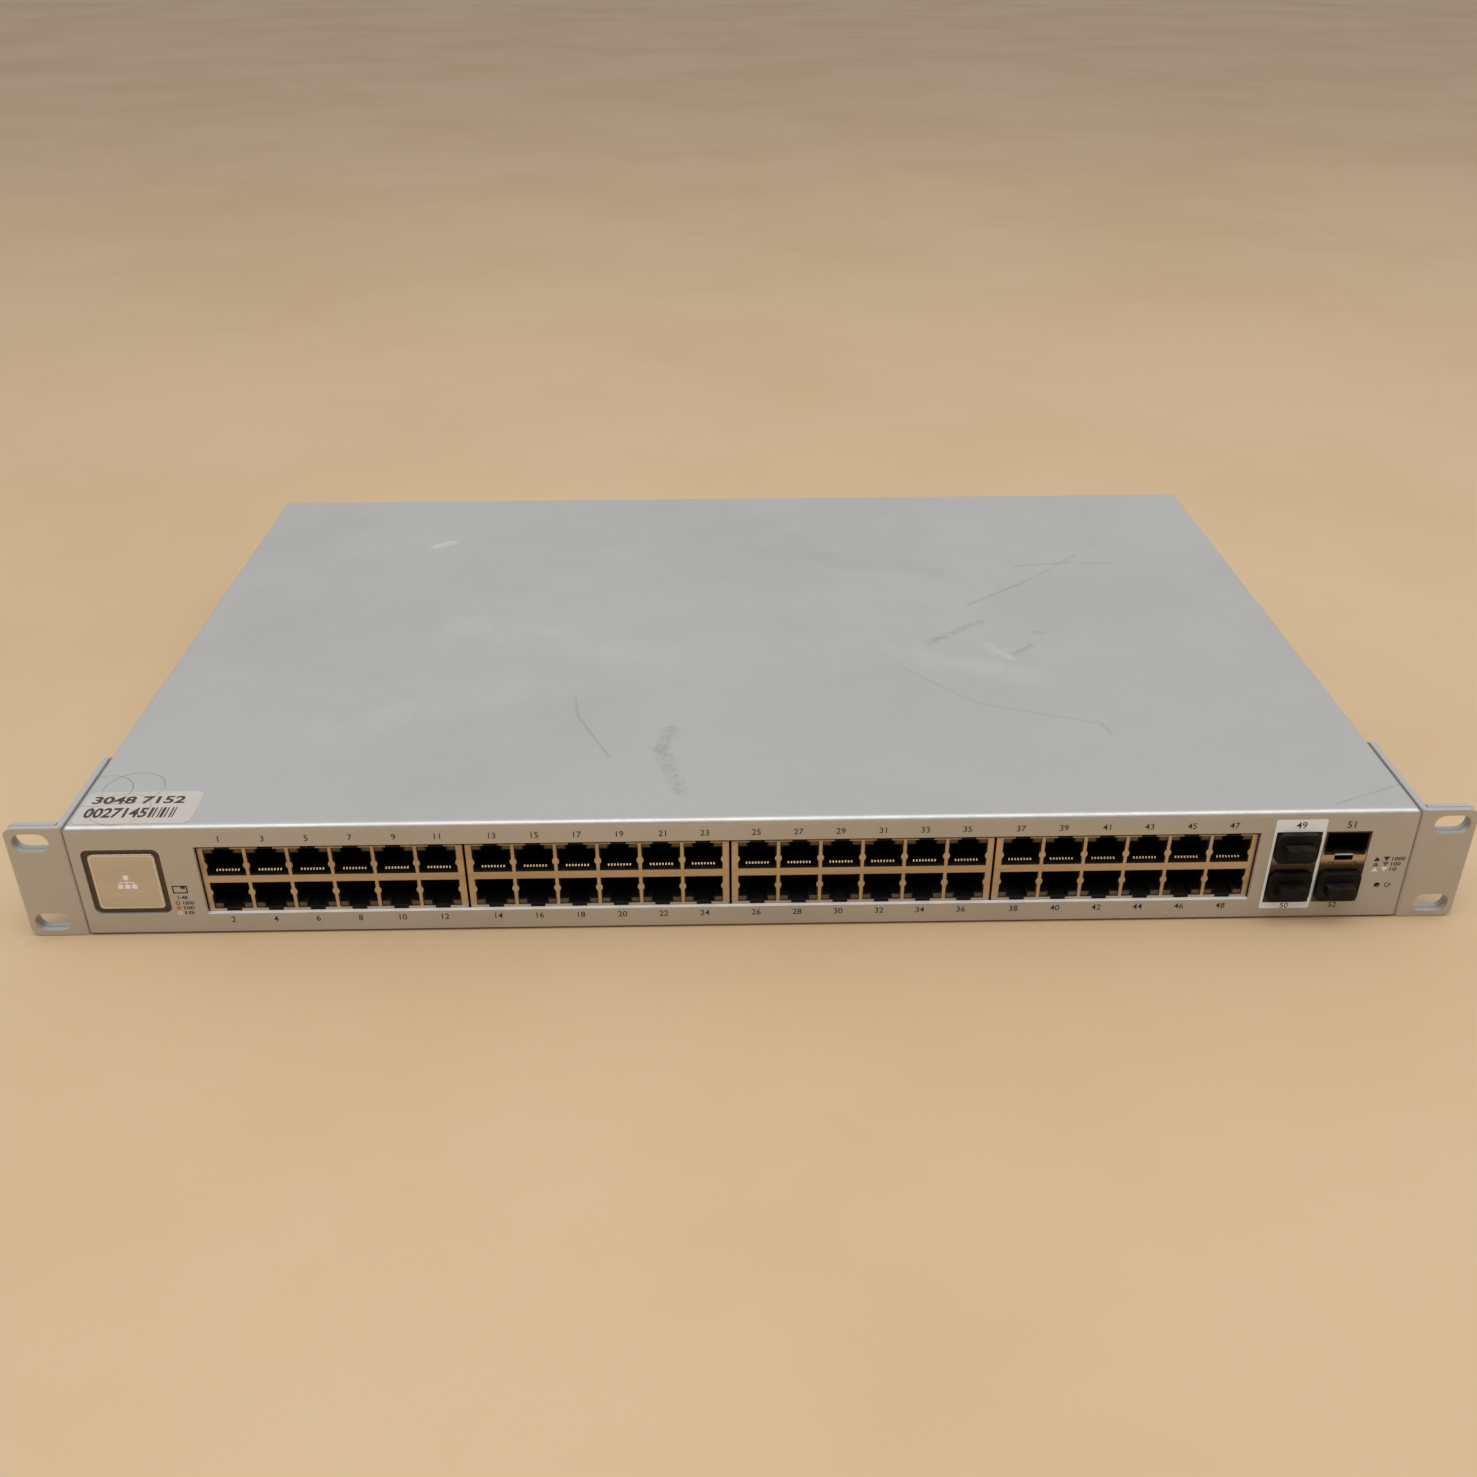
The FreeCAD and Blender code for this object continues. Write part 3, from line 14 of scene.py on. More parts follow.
import bmesh
import bpy
from mathutils import Euler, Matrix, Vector


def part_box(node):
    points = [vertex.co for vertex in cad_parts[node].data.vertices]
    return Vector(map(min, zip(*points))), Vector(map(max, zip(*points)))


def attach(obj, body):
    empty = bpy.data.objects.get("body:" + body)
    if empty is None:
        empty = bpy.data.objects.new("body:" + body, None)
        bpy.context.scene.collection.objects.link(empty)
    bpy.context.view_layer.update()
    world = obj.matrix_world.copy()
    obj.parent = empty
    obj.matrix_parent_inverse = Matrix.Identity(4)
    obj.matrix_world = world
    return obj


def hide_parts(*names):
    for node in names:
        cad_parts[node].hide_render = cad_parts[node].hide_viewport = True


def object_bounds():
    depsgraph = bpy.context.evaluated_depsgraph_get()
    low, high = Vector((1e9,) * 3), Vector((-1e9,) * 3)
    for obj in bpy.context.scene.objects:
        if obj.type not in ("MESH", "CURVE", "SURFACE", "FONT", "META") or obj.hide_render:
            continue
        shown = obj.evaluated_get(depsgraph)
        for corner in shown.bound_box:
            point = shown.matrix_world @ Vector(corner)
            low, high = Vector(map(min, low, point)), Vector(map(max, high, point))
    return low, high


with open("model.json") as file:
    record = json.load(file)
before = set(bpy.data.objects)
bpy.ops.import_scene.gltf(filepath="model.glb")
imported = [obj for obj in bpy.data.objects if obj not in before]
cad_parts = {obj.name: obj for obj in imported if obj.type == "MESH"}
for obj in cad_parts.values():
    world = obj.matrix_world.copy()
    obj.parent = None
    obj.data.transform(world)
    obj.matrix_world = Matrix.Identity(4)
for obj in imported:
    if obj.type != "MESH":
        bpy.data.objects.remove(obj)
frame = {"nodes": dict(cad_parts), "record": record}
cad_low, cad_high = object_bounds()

print("CAD box:", [round(v, 4) for v in (*cad_low, *cad_high)])

# %% [markdown]
# ## Where things are
#
# The faces of the case are worked out from the CAD nodes' own boxes. The cover gives the front face,
# the top and the sides. Lengths are easier to read in millimetres, so one value turns them into metres.

# %% Faces of the case
MM = 0.001
cover_low, cover_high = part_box("top_cover")
front_y = cover_low.y
back_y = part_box("chassis_tray")[1].y
side_x = cover_high.x
top_z = cover_high.z
print("front, back, side, top:", [round(v, 4) for v in (front_y, back_y, side_x, top_z)])

# %% [markdown]
# ## Building node trees with less typing
#
# A shader is a tree of small nodes. Made by hand in the editor, each is added, filled in and wired.
# The helpers below do the same three things in code: a value that is a socket is wired, and any other
# value is typed into the node.

# %% Node helpers
def node(tree, kind, values=None, **settings):
    """Adds a node. values fills its inputs by name or number; settings are its own options."""
    made = tree.nodes.new(kind)
    for name, value in settings.items():
        setattr(made, name, value)
    for name, value in (values or {}).items():
        if isinstance(value, bpy.types.NodeSocket):
            tree.links.new(value, made.inputs[name])
        else:
            made.inputs[name].default_value = value
    return made


def maths(tree, operation, *values, clamp=False):
    made = node(tree, "ShaderNodeMath", dict(enumerate(values)), operation=operation, use_clamp=clamp)
    return made.outputs[0]


def vector_maths(tree, operation, *values, output=0):
    return node(tree, "ShaderNodeVectorMath", dict(enumerate(values)), operation=operation).outputs[output]


def blend(tree, share, first, second):
    """One colour turning into another as share goes from 0 to 1."""
    mixed = node(tree, "ShaderNodeMix", {0: share, 6: first, 7: second}, data_type="RGBA")
    return mixed.outputs[2]


def spread(tree, value, low, high, to_low=0.0, to_high=1.0):
    """Stretches the part of value between low and high over the range to_low to to_high."""
    values = {"Value": value, "From Min": low, "From Max": high, "To Min": to_low, "To Max": to_high}
    return node(tree, "ShaderNodeMapRange", values, interpolation_type="SMOOTHSTEP").outputs[0]


def screen(red, green, blue):
    """A colour as a paint chart gives it, 0 to 255, turned into the linear values that shaders use."""
    def linear(value):
        share = value / 255
        return share / 12.92 if share <= 0.04045 else ((share + 0.055) / 1.055) ** 2.4
    return (linear(red), linear(green), linear(blue), 1.0)


# %% [markdown]
# ## Shared effects
#
# Real surfaces are never one flat value. Paint has flake and orange peel, metal has handling marks,
# plastic has a spark-eroded grain. All of them can be described by two noises: a fine grain, and broad
# clouds that shift the tone from place to place. That pair is one node group, so that every material
# can have it at its own scale. The coordinates are the part's own, in metres, so nothing needs a UV map.

# %% Group: grain and clouds
def new_group(name, inputs, outputs):
    """An empty shader node group: inputs are {name: (kind, value)}, outputs are {name: kind}."""
    group = bpy.data.node_groups.new(name, "ShaderNodeTree")
    for title, (kind, value) in inputs.items():
        socket = group.interface.new_socket(title, in_out="INPUT", socket_type=kind)
        socket.default_value = value
    for title, kind in outputs.items():
        group.interface.new_socket(title, in_out="OUTPUT", socket_type=kind)
    return group, node(group, "NodeGroupInput").outputs, node(group, "NodeGroupOutput").inputs


NUMBER, VECTOR, COLOUR = "NodeSocketFloat", "NodeSocketVector", "NodeSocketColor"


def make_surface_group():
    group, given, result = new_group(
        "grained_surface",
        {"Colour": (COLOUR, (0.5, 0.5, 0.5, 1)), "Cloud Colour": (COLOUR, (0.4, 0.4, 0.4, 1)),
         "Grain Colour": (COLOUR, (0.6, 0.6, 0.6, 1)), "Grain Share": (NUMBER, 0.3),
         "Grain Scale": (NUMBER, 3000.0), "Cloud Scale": (NUMBER, 25.0), "Stretch": (VECTOR, (1, 1, 1)),
         "Smooth": (NUMBER, 0.35), "Rough": (NUMBER, 0.5)},
        {"Colour": COLOUR, "Roughness": NUMBER, "Height": NUMBER})
    place = node(group, "ShaderNodeTexCoord").outputs["Object"]
    place = vector_maths(group, "MULTIPLY", place, given["Stretch"])
    grain = node(group, "ShaderNodeTexNoise", {"Vector": place, "Scale": given["Grain Scale"],
                                               "Detail": 2.0, "Roughness": 0.6}).outputs[0]
    clouds = node(group, "ShaderNodeTexNoise", {"Vector": place, "Scale": given["Cloud Scale"],
                                                "Detail": 5.0, "Roughness": 0.62}).outputs[0]
    cloud_share = spread(group, clouds, 0.38, 0.66)
    grain_share = maths(group, "MULTIPLY", spread(group, grain, 0.45, 0.75), given["Grain Share"])
    tinted = blend(group, cloud_share, given["Colour"], given["Cloud Colour"])
    group.links.new(blend(group, grain_share, tinted, given["Grain Colour"]), result["Colour"])
    gap = maths(group, "SUBTRACT", given["Rough"], given["Smooth"])
    both = maths(group, "MULTIPLY_ADD", cloud_share, 0.7, maths(group, "MULTIPLY", grain, 0.3))
    group.links.new(maths(group, "MULTIPLY_ADD", both, gap, given["Smooth"]), result["Roughness"])
    group.links.new(grain, result["Height"])
    return group


surface_group = make_surface_group()
print("group", surface_group.name, "gives", [s.name for s in surface_group.interface.items_tree])

# %% [markdown]
# Dust and rubbing are the two kinds of wear that nearly every piece of used equipment shows. Dust lies on
# faces that look up and gathers in patches. A rub mark runs between two points: the group measures how
# far a spot is from the line between them, and breaks the edge up with noise. The same group draws a
# scratch, a smear, a painted highlight along a folded edge, or a pen line, depending on its width and colour.

# %% Groups: dust, and rub marks that also draw painted highlights
def make_dust_group():
    group, given, result = new_group(
        "settled_dust",
        {"Colour": (COLOUR, (0.1, 0.1, 0.1, 1)), "Roughness": (NUMBER, 0.5), "Amount": (NUMBER, 0.4),
         "Dust Colour": (COLOUR, (0.5, 0.47, 0.42, 1)), "Patch Scale": (NUMBER, 120.0)},
        {"Colour": COLOUR, "Roughness": NUMBER})
    coordinates = node(group, "ShaderNodeTexCoord").outputs
    up = node(group, "ShaderNodeSeparateXYZ", {0: coordinates["Normal"]}).outputs["Z"]
    patches = node(group, "ShaderNodeTexNoise", {"Vector": coordinates["Object"], "Detail": 6.0,
                                                 "Scale": given["Patch Scale"], "Roughness": 0.7}).outputs[0]
    lying = maths(group, "MULTIPLY_ADD", spread(group, up, -0.2, 1.0), 0.8, 0.2)
    cover = maths(group, "MULTIPLY", lying, spread(group, patches, 0.35, 0.7))
    share = maths(group, "MULTIPLY", cover, given["Amount"], clamp=True)
    group.links.new(blend(group, share, given["Colour"], given["Dust Colour"]), result["Colour"])
    dull = maths(group, "SUBTRACT", 0.9, given["Roughness"])
    group.links.new(maths(group, "MULTIPLY_ADD", dull, share, given["Roughness"]), result["Roughness"])
    return group


def make_rub_group():
    group, given, result = new_group(
        "rub_and_highlight_mark",
        {"Start": (VECTOR, (0, 0, 0)), "End": (VECTOR, (0.1, 0, 0)), "Width": (NUMBER, 0.002),
         "Patch Scale": (NUMBER, 300.0), "Broken": (NUMBER, 0.5)},
        {"Mask": NUMBER})
    place = node(group, "ShaderNodeTexCoord").outputs["Object"]
    from_start = vector_maths(group, "SUBTRACT", place, given["Start"])
    run = vector_maths(group, "SUBTRACT", given["End"], given["Start"])
    along = maths(group, "DIVIDE", vector_maths(group, "DOT_PRODUCT", from_start, run, output="Value"),
                  vector_maths(group, "DOT_PRODUCT", run, run, output="Value"), clamp=True)
    nearest = node(group, "ShaderNodeVectorMath", {0: run, "Scale": along}, operation="SCALE").outputs[0]
    gap = vector_maths(group, "LENGTH", vector_maths(group, "SUBTRACT", from_start, nearest), output="Value")
    patches = node(group, "ShaderNodeTexNoise", {"Vector": place, "Scale": given["Patch Scale"],
                                                 "Detail": 5.0, "Roughness": 0.75}).outputs[0]
    near = spread(group, maths(group, "DIVIDE", gap, given["Width"]), 1.0, 0.15)
    torn = maths(group, "MULTIPLY_ADD", spread(group, patches, 0.62, 0.38), given["Broken"],
                 maths(group, "SUBTRACT", 1.0, given["Broken"]))
    group.links.new(maths(group, "MULTIPLY", near, torn), result["Mask"])
    return group


def make_ring_group():
    group, given, result = new_group(
        "pen_ring",
        {"Middle": (VECTOR, (0, 0, 0)), "Radius": (NUMBER, 0.01), "Width": (NUMBER, 0.0004)},
        {"Mask": NUMBER})
    place = node(group, "ShaderNodeTexCoord").outputs["Object"]
    reach = vector_maths(group, "DISTANCE", place, given["Middle"], output="Value")
    off = maths(group, "ABSOLUTE", maths(group, "SUBTRACT", reach, given["Radius"]))
    skips = node(group, "ShaderNodeTexNoise", {"Vector": place, "Scale": 160.0, "Detail": 3.0}).outputs[0]
    line = spread(group, maths(group, "DIVIDE", off, given["Width"]), 1.0, 0.3)
    group.links.new(maths(group, "MULTIPLY", line, spread(group, skips, 0.3, 0.5)), result["Mask"])
    return group


dust_group = make_dust_group()
rub_and_highlight_group = make_rub_group()
ring_group = make_ring_group()
print("wear groups:", dust_group.name, rub_and_highlight_group.name, ring_group.name)

# %% [markdown]
# ## The recipe that all finishes start from
#
# A finish is one Principled shader. What changes over the surface comes from the groups; what is the same
# everywhere, such as how metallic it is, is typed into the shader. Keeping the recipe in one function
# means that each finish below only has to say what is special about it.

# %% Base recipe
def use_group(tree, group, **values):
    made = node(tree, "ShaderNodeGroup", node_tree=group)
    for title, value in values.items():
        socket = made.inputs[title.replace("_", " ")]
        if isinstance(value, bpy.types.NodeSocket):
            tree.links.new(value, socket)
        else:
            socket.default_value = value
    return made.outputs


def new_finish(name, bump=0.05, bump_size=0.0001, dust=0.0, dust_colour=screen(176, 168, 155), marks=(),
               shader_values=None, **surface):
    """A material. surface fills the grain group, marks are (group, values, colour, strength) laid over it."""
    material = bpy.data.materials.new(name)
    material.use_nodes = True
    tree = material.node_tree
    tree.nodes.clear()
    skin = use_group(tree, surface_group, **surface)
    colour, roughness = skin["Colour"], skin["Roughness"]
    for group, values, mark_colour, strength in marks:
        mask = maths(tree, "MULTIPLY", use_group(tree, group, **values)["Mask"], strength)
        colour = blend(tree, mask, colour, mark_colour)
    if dust:
        settled = use_group(tree, dust_group, Colour=colour, Roughness=roughness, Amount=dust,
                            Dust_Colour=dust_colour)
        colour, roughness = settled["Colour"], settled["Roughness"]
    relief = node(tree, "ShaderNodeBump", {"Strength": bump, "Distance": bump_size, "Height": skin["Height"]})
    shader = node(tree, "ShaderNodeBsdfPrincipled", {"Base Color": colour, "Roughness": roughness,
                                                     "Normal": relief.outputs[0], **(shader_values or {})})
    node(tree, "ShaderNodeOutputMaterial", {"Surface": shader.outputs[0]})
    return material


# %% [markdown]
# ## Silver paint
#
# The case is folded steel sheet with a satin silver coat. Silver paint is a clear binder full of tiny
# aluminium flakes, so it is partly metallic: it picks up the colour of what it faces, which is why the
# front looks warmer than the top. The fine grain stands for the flake, the broad clouds for handling.
#
# The cover has also been slid in and out of a rack. There are smears, scratches and loose pen rings on top,
# each a rub mark between two places on the cover. Its folds carry painted highlights, drawn the same way.

# %% Places on the cover
PEN_WIDTH = 0.3 * MM


def on_cover(x, back):
    """A spot on top of the cover: x across from the middle, back from the front fold, in mm."""
    return Vector((x * MM, front_y + back * MM, top_z))


def rub(start, end, width, colour, strength, patches=300.0, broken=0.5):
    values = {"Start": start, "End": end, "Width": width * MM, "Patch_Scale": patches, "Broken": broken}
    return (rub_and_highlight_group, values, colour, strength)


def ring(x, back, radius, colour, strength):
    values = {"Middle": on_cover(x, back), "Radius": radius * MM, "Width": PEN_WIDTH}
    return (ring_group, values, colour, strength)


# %% Marks on the cover
BRIGHT_WEAR_AND_HIGHLIGHT = screen(225, 225, 222)
BROWN_SMEAR = screen(132, 112, 88)
GREY_SCRATCH = screen(112, 110, 106)
PENCIL = screen(112, 96, 80)
FOLD_HIGHLIGHT_BACK = 0.6
side_mm = side_x / MM
depth_mm = (back_y - front_y) / MM

# across and back of one end and of the other, width, colour, strength, patch scale, how broken
RUBS_AND_HIGHLIGHTS = (
    # The first three rows are painted highlights along the front fold and the two side folds.
    ((-side_mm, FOLD_HIGHLIGHT_BACK), (side_mm, FOLD_HIGHLIGHT_BACK), 2.2, BRIGHT_WEAR_AND_HIGHLIGHT, 0.6, 60.0),
    ((-side_mm, 0), (-side_mm, depth_mm), 1.6, BRIGHT_WEAR_AND_HIGHLIGHT, 0.55, 80.0),
    ((side_mm, 0), (side_mm, depth_mm), 1.6, BRIGHT_WEAR_AND_HIGHLIGHT, 0.55, 80.0),
    ((76, 127), (100, 146), 3.2, BROWN_SMEAR, 0.32, 320.0, 0.8),
    ((97, 162), (125, 185), 0.9, BROWN_SMEAR, 0.38),
    ((125, 185), (155, 215), 0.8, BROWN_SMEAR, 0.3),
    ((125, 203), (150, 206), 1.4, BROWN_SMEAR, 0.3),
    ((155, 205), (168, 205), 1.4, BROWN_SMEAR, 0.3),
    ((108, 116), (117, 124), 2.0, BROWN_SMEAR, 0.25),
    ((120, 135), (124, 135.5), 2.0, BROWN_SMEAR, 0.25),
    ((-138, 232), (-131, 237), 3.6, BRIGHT_WEAR_AND_HIGHLIGHT, 0.7, 200.0, 0.3),
    ((100, 124), (107, 112), 3.0, BRIGHT_WEAR_AND_HIGHLIGHT, 0.4, 200.0, 0.6),
    ((-62, 84), (-60, 70), 0.8, GREY_SCRATCH, 0.3),
    ((-60, 70), (-47, 41), 0.8, GREY_SCRATCH, 0.35),
    ((-26, 60), (-29, 46), 3.6, GREY_SCRATCH, 0.32, 700.0, 0.95),
    ((-29, 46), (-22, 18), 4.5, GREY_SCRATCH, 0.28, 420.0, 0.95),
    ((62, 107), (88, 76), 0.9, GREY_SCRATCH, 0.18),
    ((88, 76), (130, 60), 0.9, GREY_SCRATCH, 0.22),
    ((130, 60), (132, 52), 0.9, GREY_SCRATCH, 0.22),
    ((195, 5), (220, 16), 0.8, GREY_SCRATCH, 0.3),
    ((-120, 150), (-30, 120), 18.0, BRIGHT_WEAR_AND_HIGHLIGHT, 0.18, 40.0, 0.9),
    ((20, 220), (90, 200), 14.0, GREY_SCRATCH, 0.10, 50.0, 0.9),
    ((-150, 60), (-90, 90), 16.0, BRIGHT_WEAR_AND_HIGHLIGHT, 0.15, 45.0, 0.9),
    ((60, 120), (115, 95), 12.0, BRIGHT_WEAR_AND_HIGHLIGHT, 0.18, 60.0, 0.9),
)
# across and back of the middle, radius, colour, strength
RINGS = ((-216, 22.5, 9.8, PENCIL, 0.55), (-206, 24, 10.0, PENCIL, 0.5), (-206, 11, 9.5, PENCIL, 0.45))

pen_rings = [ring(*values) for values in RINGS]
rubs_and_highlights = [rub(on_cover(*start), on_cover(*end), *rest) for start, end, *rest in RUBS_AND_HIGHLIGHTS]
# The fold rows come first: they are painted highlights, not wear.
FOLD_HIGHLIGHTS = 3
cover_marks = rubs_and_highlights[:FOLD_HIGHLIGHTS] + pen_rings + rubs_and_highlights[FOLD_HIGHLIGHTS:]
print(len(cover_marks), "marks on the cover")


# %% Silver paint
def silver_paint(name, marks=()):
    return new_finish(
        name, bump=0.10, bump_size=0.00012, marks=marks,
        Colour=screen(196, 196, 194), Cloud_Colour=screen(190, 190, 189), Grain_Colour=screen(214, 214, 213),
        Grain_Share=0.35, Grain_Scale=5200.0, Cloud_Scale=14.0, Smooth=0.36, Rough=0.47,
        shader_values={"Metallic": 0.55, "IOR": 1.5, "Coat Weight": 0.08, "Coat Roughness": 0.35})


finishes = {"silver_paint": silver_paint("silver_paint")}
cover_paint = silver_paint("cover_paint", cover_marks)
print("paint:", cover_paint.name, "with", len(cover_paint.node_tree.nodes), "nodes")

# %% [markdown]
# ## Bright metals
#
# The jack shields and cages are stamped from strip that was nickel- or tin-plated before stamping. The
# plating is smooth but never a mirror: it carries the rolling direction as faint streaks, so the grain is
# stretched along one axis. The contacts are gold-plated, the posts are brass, and the screws are zinc.

# %% Metals
ALONG_X = (0.06, 1.0, 1.0)
ALONG_Z = (1.0, 1.0, 0.06)
EVEN = (1.0, 1.0, 1.0)


def metal(name, colour, cloud, grain, smooth, rough, stretch=EVEN, grain_scale=2500.0, dust=0.12, marks=()):
    return new_finish(name, bump=0.06, dust=dust, marks=marks, Colour=screen(*colour),
                      Cloud_Colour=screen(*cloud), Grain_Colour=screen(*grain), Grain_Share=0.4,
                      Grain_Scale=grain_scale, Cloud_Scale=90.0, Stretch=stretch, Smooth=smooth, Rough=rough,
                      shader_values={"Metallic": 1.0})


# body, cloud and grain colours, smoothest and roughest, then the grain's direction, its scale and the dust
METALS = {
    # The tan body colour of nickel_plate is partly a painted reflection of warm surroundings on the plating.
    "nickel_plate": ((200, 182, 160), (184, 165, 141), (218, 203, 184), 0.26, 0.42, ALONG_X),
    "plate_metal": ((213, 210, 205), (205, 202, 197), (232, 231, 228), 0.34, 0.44, ALONG_X, 3600.0, 0.0),
    "gold_plate": ((172, 150, 116), (150, 128, 96), (190, 170, 138), 0.25, 0.4, ALONG_X, 4000.0, 0.0),
    "bare_aluminium": ((198, 200, 202), (186, 188, 190), (215, 216, 218), 0.3, 0.45, ALONG_Z),
    "brass_standoff": ((205, 176, 108), (188, 156, 92), (225, 200, 140), 0.25, 0.4),
    "screw_steel": ((186, 188, 190), (168, 170, 172), (208, 210, 212), 0.28, 0.46),
}
for name, values in METALS.items():
    finishes[name] = metal(name, *values)
print("metals:", list(METALS))

# %% [markdown]
# ## Plastics, rubber and the small parts inside
#
# Moulded plastic is not metallic, has a fine spark-eroded grain, and shows dust sooner than anything else
# because it is dark. The same short recipe makes the jack inserts, the plugs, the chips and the cans, with
# other colours and other amounts of grain. The board is a green laminate whose weave is a stretched grain.

# %% Plastics
def plastic(name, paint, smooth=0.35, rough=0.55, dust=0.2, grain_scale=2600.0, cloud=0.85, bump=0.2,
            marks=(), **shader):
    colour = screen(*paint)
    darker = tuple(c * cloud for c in colour[:3]) + (1.0,)
    lighter = tuple(min(1.0, c * 1.25 + 0.004) for c in colour[:3]) + (1.0,)
    values = {title.replace("_", " "): value for title, value in shader.items()}
    return new_finish(name, bump=bump, dust=dust, marks=marks, Colour=colour, Cloud_Colour=darker,
                      Grain_Colour=lighter, Grain_Share=0.5, Grain_Scale=grain_scale, Cloud_Scale=70.0,
                      Smooth=smooth, Rough=rough, shader_values=values)


PLASTICS = {
    "black_plastic": dict(paint=(10, 10, 9), smooth=0.45, rough=0.65, dust=0.02, bump=0.1,
                          Specular_IOR_Level=0.25),
    "black_rubber": dict(paint=(9, 8, 8), smooth=0.5, rough=0.72, dust=0.06, Specular_IOR_Level=0.2),
    "smoked_plastic": dict(paint=(78, 62, 44), smooth=0.2, rough=0.34, dust=0.15, bump=0.05),
    "clear_plastic": dict(paint=(104, 92, 76), smooth=0.22, rough=0.36, dust=0.1, bump=0.05,
                          Transmission_Weight=0.2, IOR=1.49),
    "label_film": dict(paint=(196, 192, 185), smooth=0.42, rough=0.55, dust=0.06, cloud=0.94, bump=0.06,
                       marks=pen_rings),
    "board_laminate": dict(paint=(28, 82, 52), smooth=0.3, rough=0.42, grain_scale=1400.0),
    "chip_epoxy": dict(paint=(34, 34, 36), smooth=0.4, rough=0.6),
    "ferrite": dict(paint=(62, 60, 60), smooth=0.45, rough=0.65),
    "winding_tape": dict(paint=(214, 176, 62), smooth=0.3, rough=0.45, bump=0.08),
    "can_sleeve": dict(paint=(30, 34, 52), smooth=0.22, rough=0.35, bump=0.03),
    "white_plastic": dict(paint=(226, 222, 208), smooth=0.35, rough=0.5),
    "insulating_film": dict(paint=(208, 206, 196), smooth=0.25, rough=0.4, bump=0.03,
                            Transmission_Weight=0.3, IOR=1.55),
    "wire_sleeve": dict(paint=(150, 40, 34), smooth=0.3, rough=0.42, bump=0.05),
}
for name, values in PLASTICS.items():
    finishes[name] = plastic(name, **values)
print(len(finishes), "finishes")

# %% [markdown]
# ## Putting the finishes on the model
#
# The imported record already says which finish each part takes, so the model's own list does the work.
# Only the cover and the uplink cages get a version of their own, because their marks belong to one place:
# a cage is darkened all over as painted shade, and the edge under its upper mouth and the tongue there carry
# painted highlights.

# %% Dress the CAD nodes
def dress(piece, material):
    piece.data.materials.clear()
    piece.data.materials.append(material)


slot_of = {entry["node"]: entry["material_slot"] for entry in frame["record"]["subparts"]}
for name, piece in frame["nodes"].items():
    dress(piece, finishes[slot_of[name]])
dress(frame["nodes"]["top_cover"], cover_paint)
print("dressed", len(frame["nodes"]), "nodes")

# %% Cages: painted shade and painted highlights
EDGE_RISE, EDGE_WIDTH = 1.9 * MM, 3.4
TONGUE_RISE, TONGUE_WIDTH, TONGUE_HALF = 3.0 * MM, 1.0, 2.6 * MM
CAGE_HIGHLIGHTS = {1: 0.45, 2: 1.0}

cage_highlights = []
pipes_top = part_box("uplink_light_pipes")[1].z
highlight_nickel = screen(*METALS["nickel_plate"][0])
for number, strength in CAGE_HIGHLIGHTS.items():
    low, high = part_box(f"uplink_cage_{number}")
    left = Vector((low.x, low.y, pipes_top + EDGE_RISE))
    right = Vector((high.x, low.y, pipes_top + EDGE_RISE))
    cage_highlights.append(rub(left, right, EDGE_WIDTH, highlight_nickel, strength, broken=0.2))
    tongue = Vector(((low.x + high.x) / 2, low.y, pipes_top + TONGUE_RISE))
    half = Vector((TONGUE_HALF, 0, 0))
    cage_highlights.append(rub(tongue - half, tongue + half, TONGUE_WIDTH, BRIGHT_WEAR_AND_HIGHLIGHT, strength, broken=0.0))
# The cage metal is dark all over as painted shade; the nickel strip under each upper mouth and the white
# tongue line are painted highlights, stronger on the second cage.
cage_metal_painted_shade = metal("cage_metal_painted_shade", (78, 68, 58), (62, 54, 46), (96, 86, 74), 0.34, 0.5, ALONG_X,
                   marks=cage_highlights)
for number in CAGE_HIGHLIGHTS:
    dress(frame["nodes"][f"uplink_cage_{number}"], cage_metal_painted_shade)
print("cages:", cage_metal_painted_shade.name, "with", len(cage_highlights), "rubbed edges")

# %% [markdown]
# ## Flat printing
#
# The port numbers, the frames and the small symbols are screen-printed ink, a few hundredths of a
# millimetre thick. A picture texture would do, but real outlines stay sharp from any distance and survive
# export. So each print is a flat mesh, drawn in a plane with simple outlines, and then laid on its face.
#
# An outline is a closed loop of points. Several loops filled together give shapes with holes, which is
# how frames, rings and the socket symbol are made.

# %% Drawing helpers
def box_loop(low, high, radius=0.0, steps=5):
    """The outline of a rectangle, with quarter rounds at its corners if a radius is given."""
    (left, bottom), (right, top) = low, high
    if not radius:
        return [(left, bottom), (right, bottom), (right, top), (left, top)]
    points = []
    corners = ((right - radius, top - radius), (left + radius, top - radius),
               (left + radius, bottom + radius), (right - radius, bottom + radius))
    for quarter, (x, y) in enumerate(corners):
        for step in range(steps + 1):
            angle = math.radians(90 * quarter + 90 * step / steps)
            points.append((x + radius * math.cos(angle), y + radius * math.sin(angle)))
    return points


def circle_loop(x, y, radius, steps=28):
    turns = [math.tau * step / steps for step in range(steps)]
    return [(x + radius * math.cos(turn), y + radius * math.sin(turn)) for turn in turns]


def fill(sheet, *loops):
    """Fills the area between the loops, given in mm in the print's own plane."""
    edges = []
    for loop in loops:
        corners = [sheet.verts.new((x * MM, y * MM, 0)) for x, y in loop]
        edges += [sheet.edges.new((a, b)) for a, b in zip(corners, corners[1:] + corners[:1])]
    bmesh.ops.triangle_fill(sheet, edges=edges, use_beauty=True, normal=(0, 0, 1))


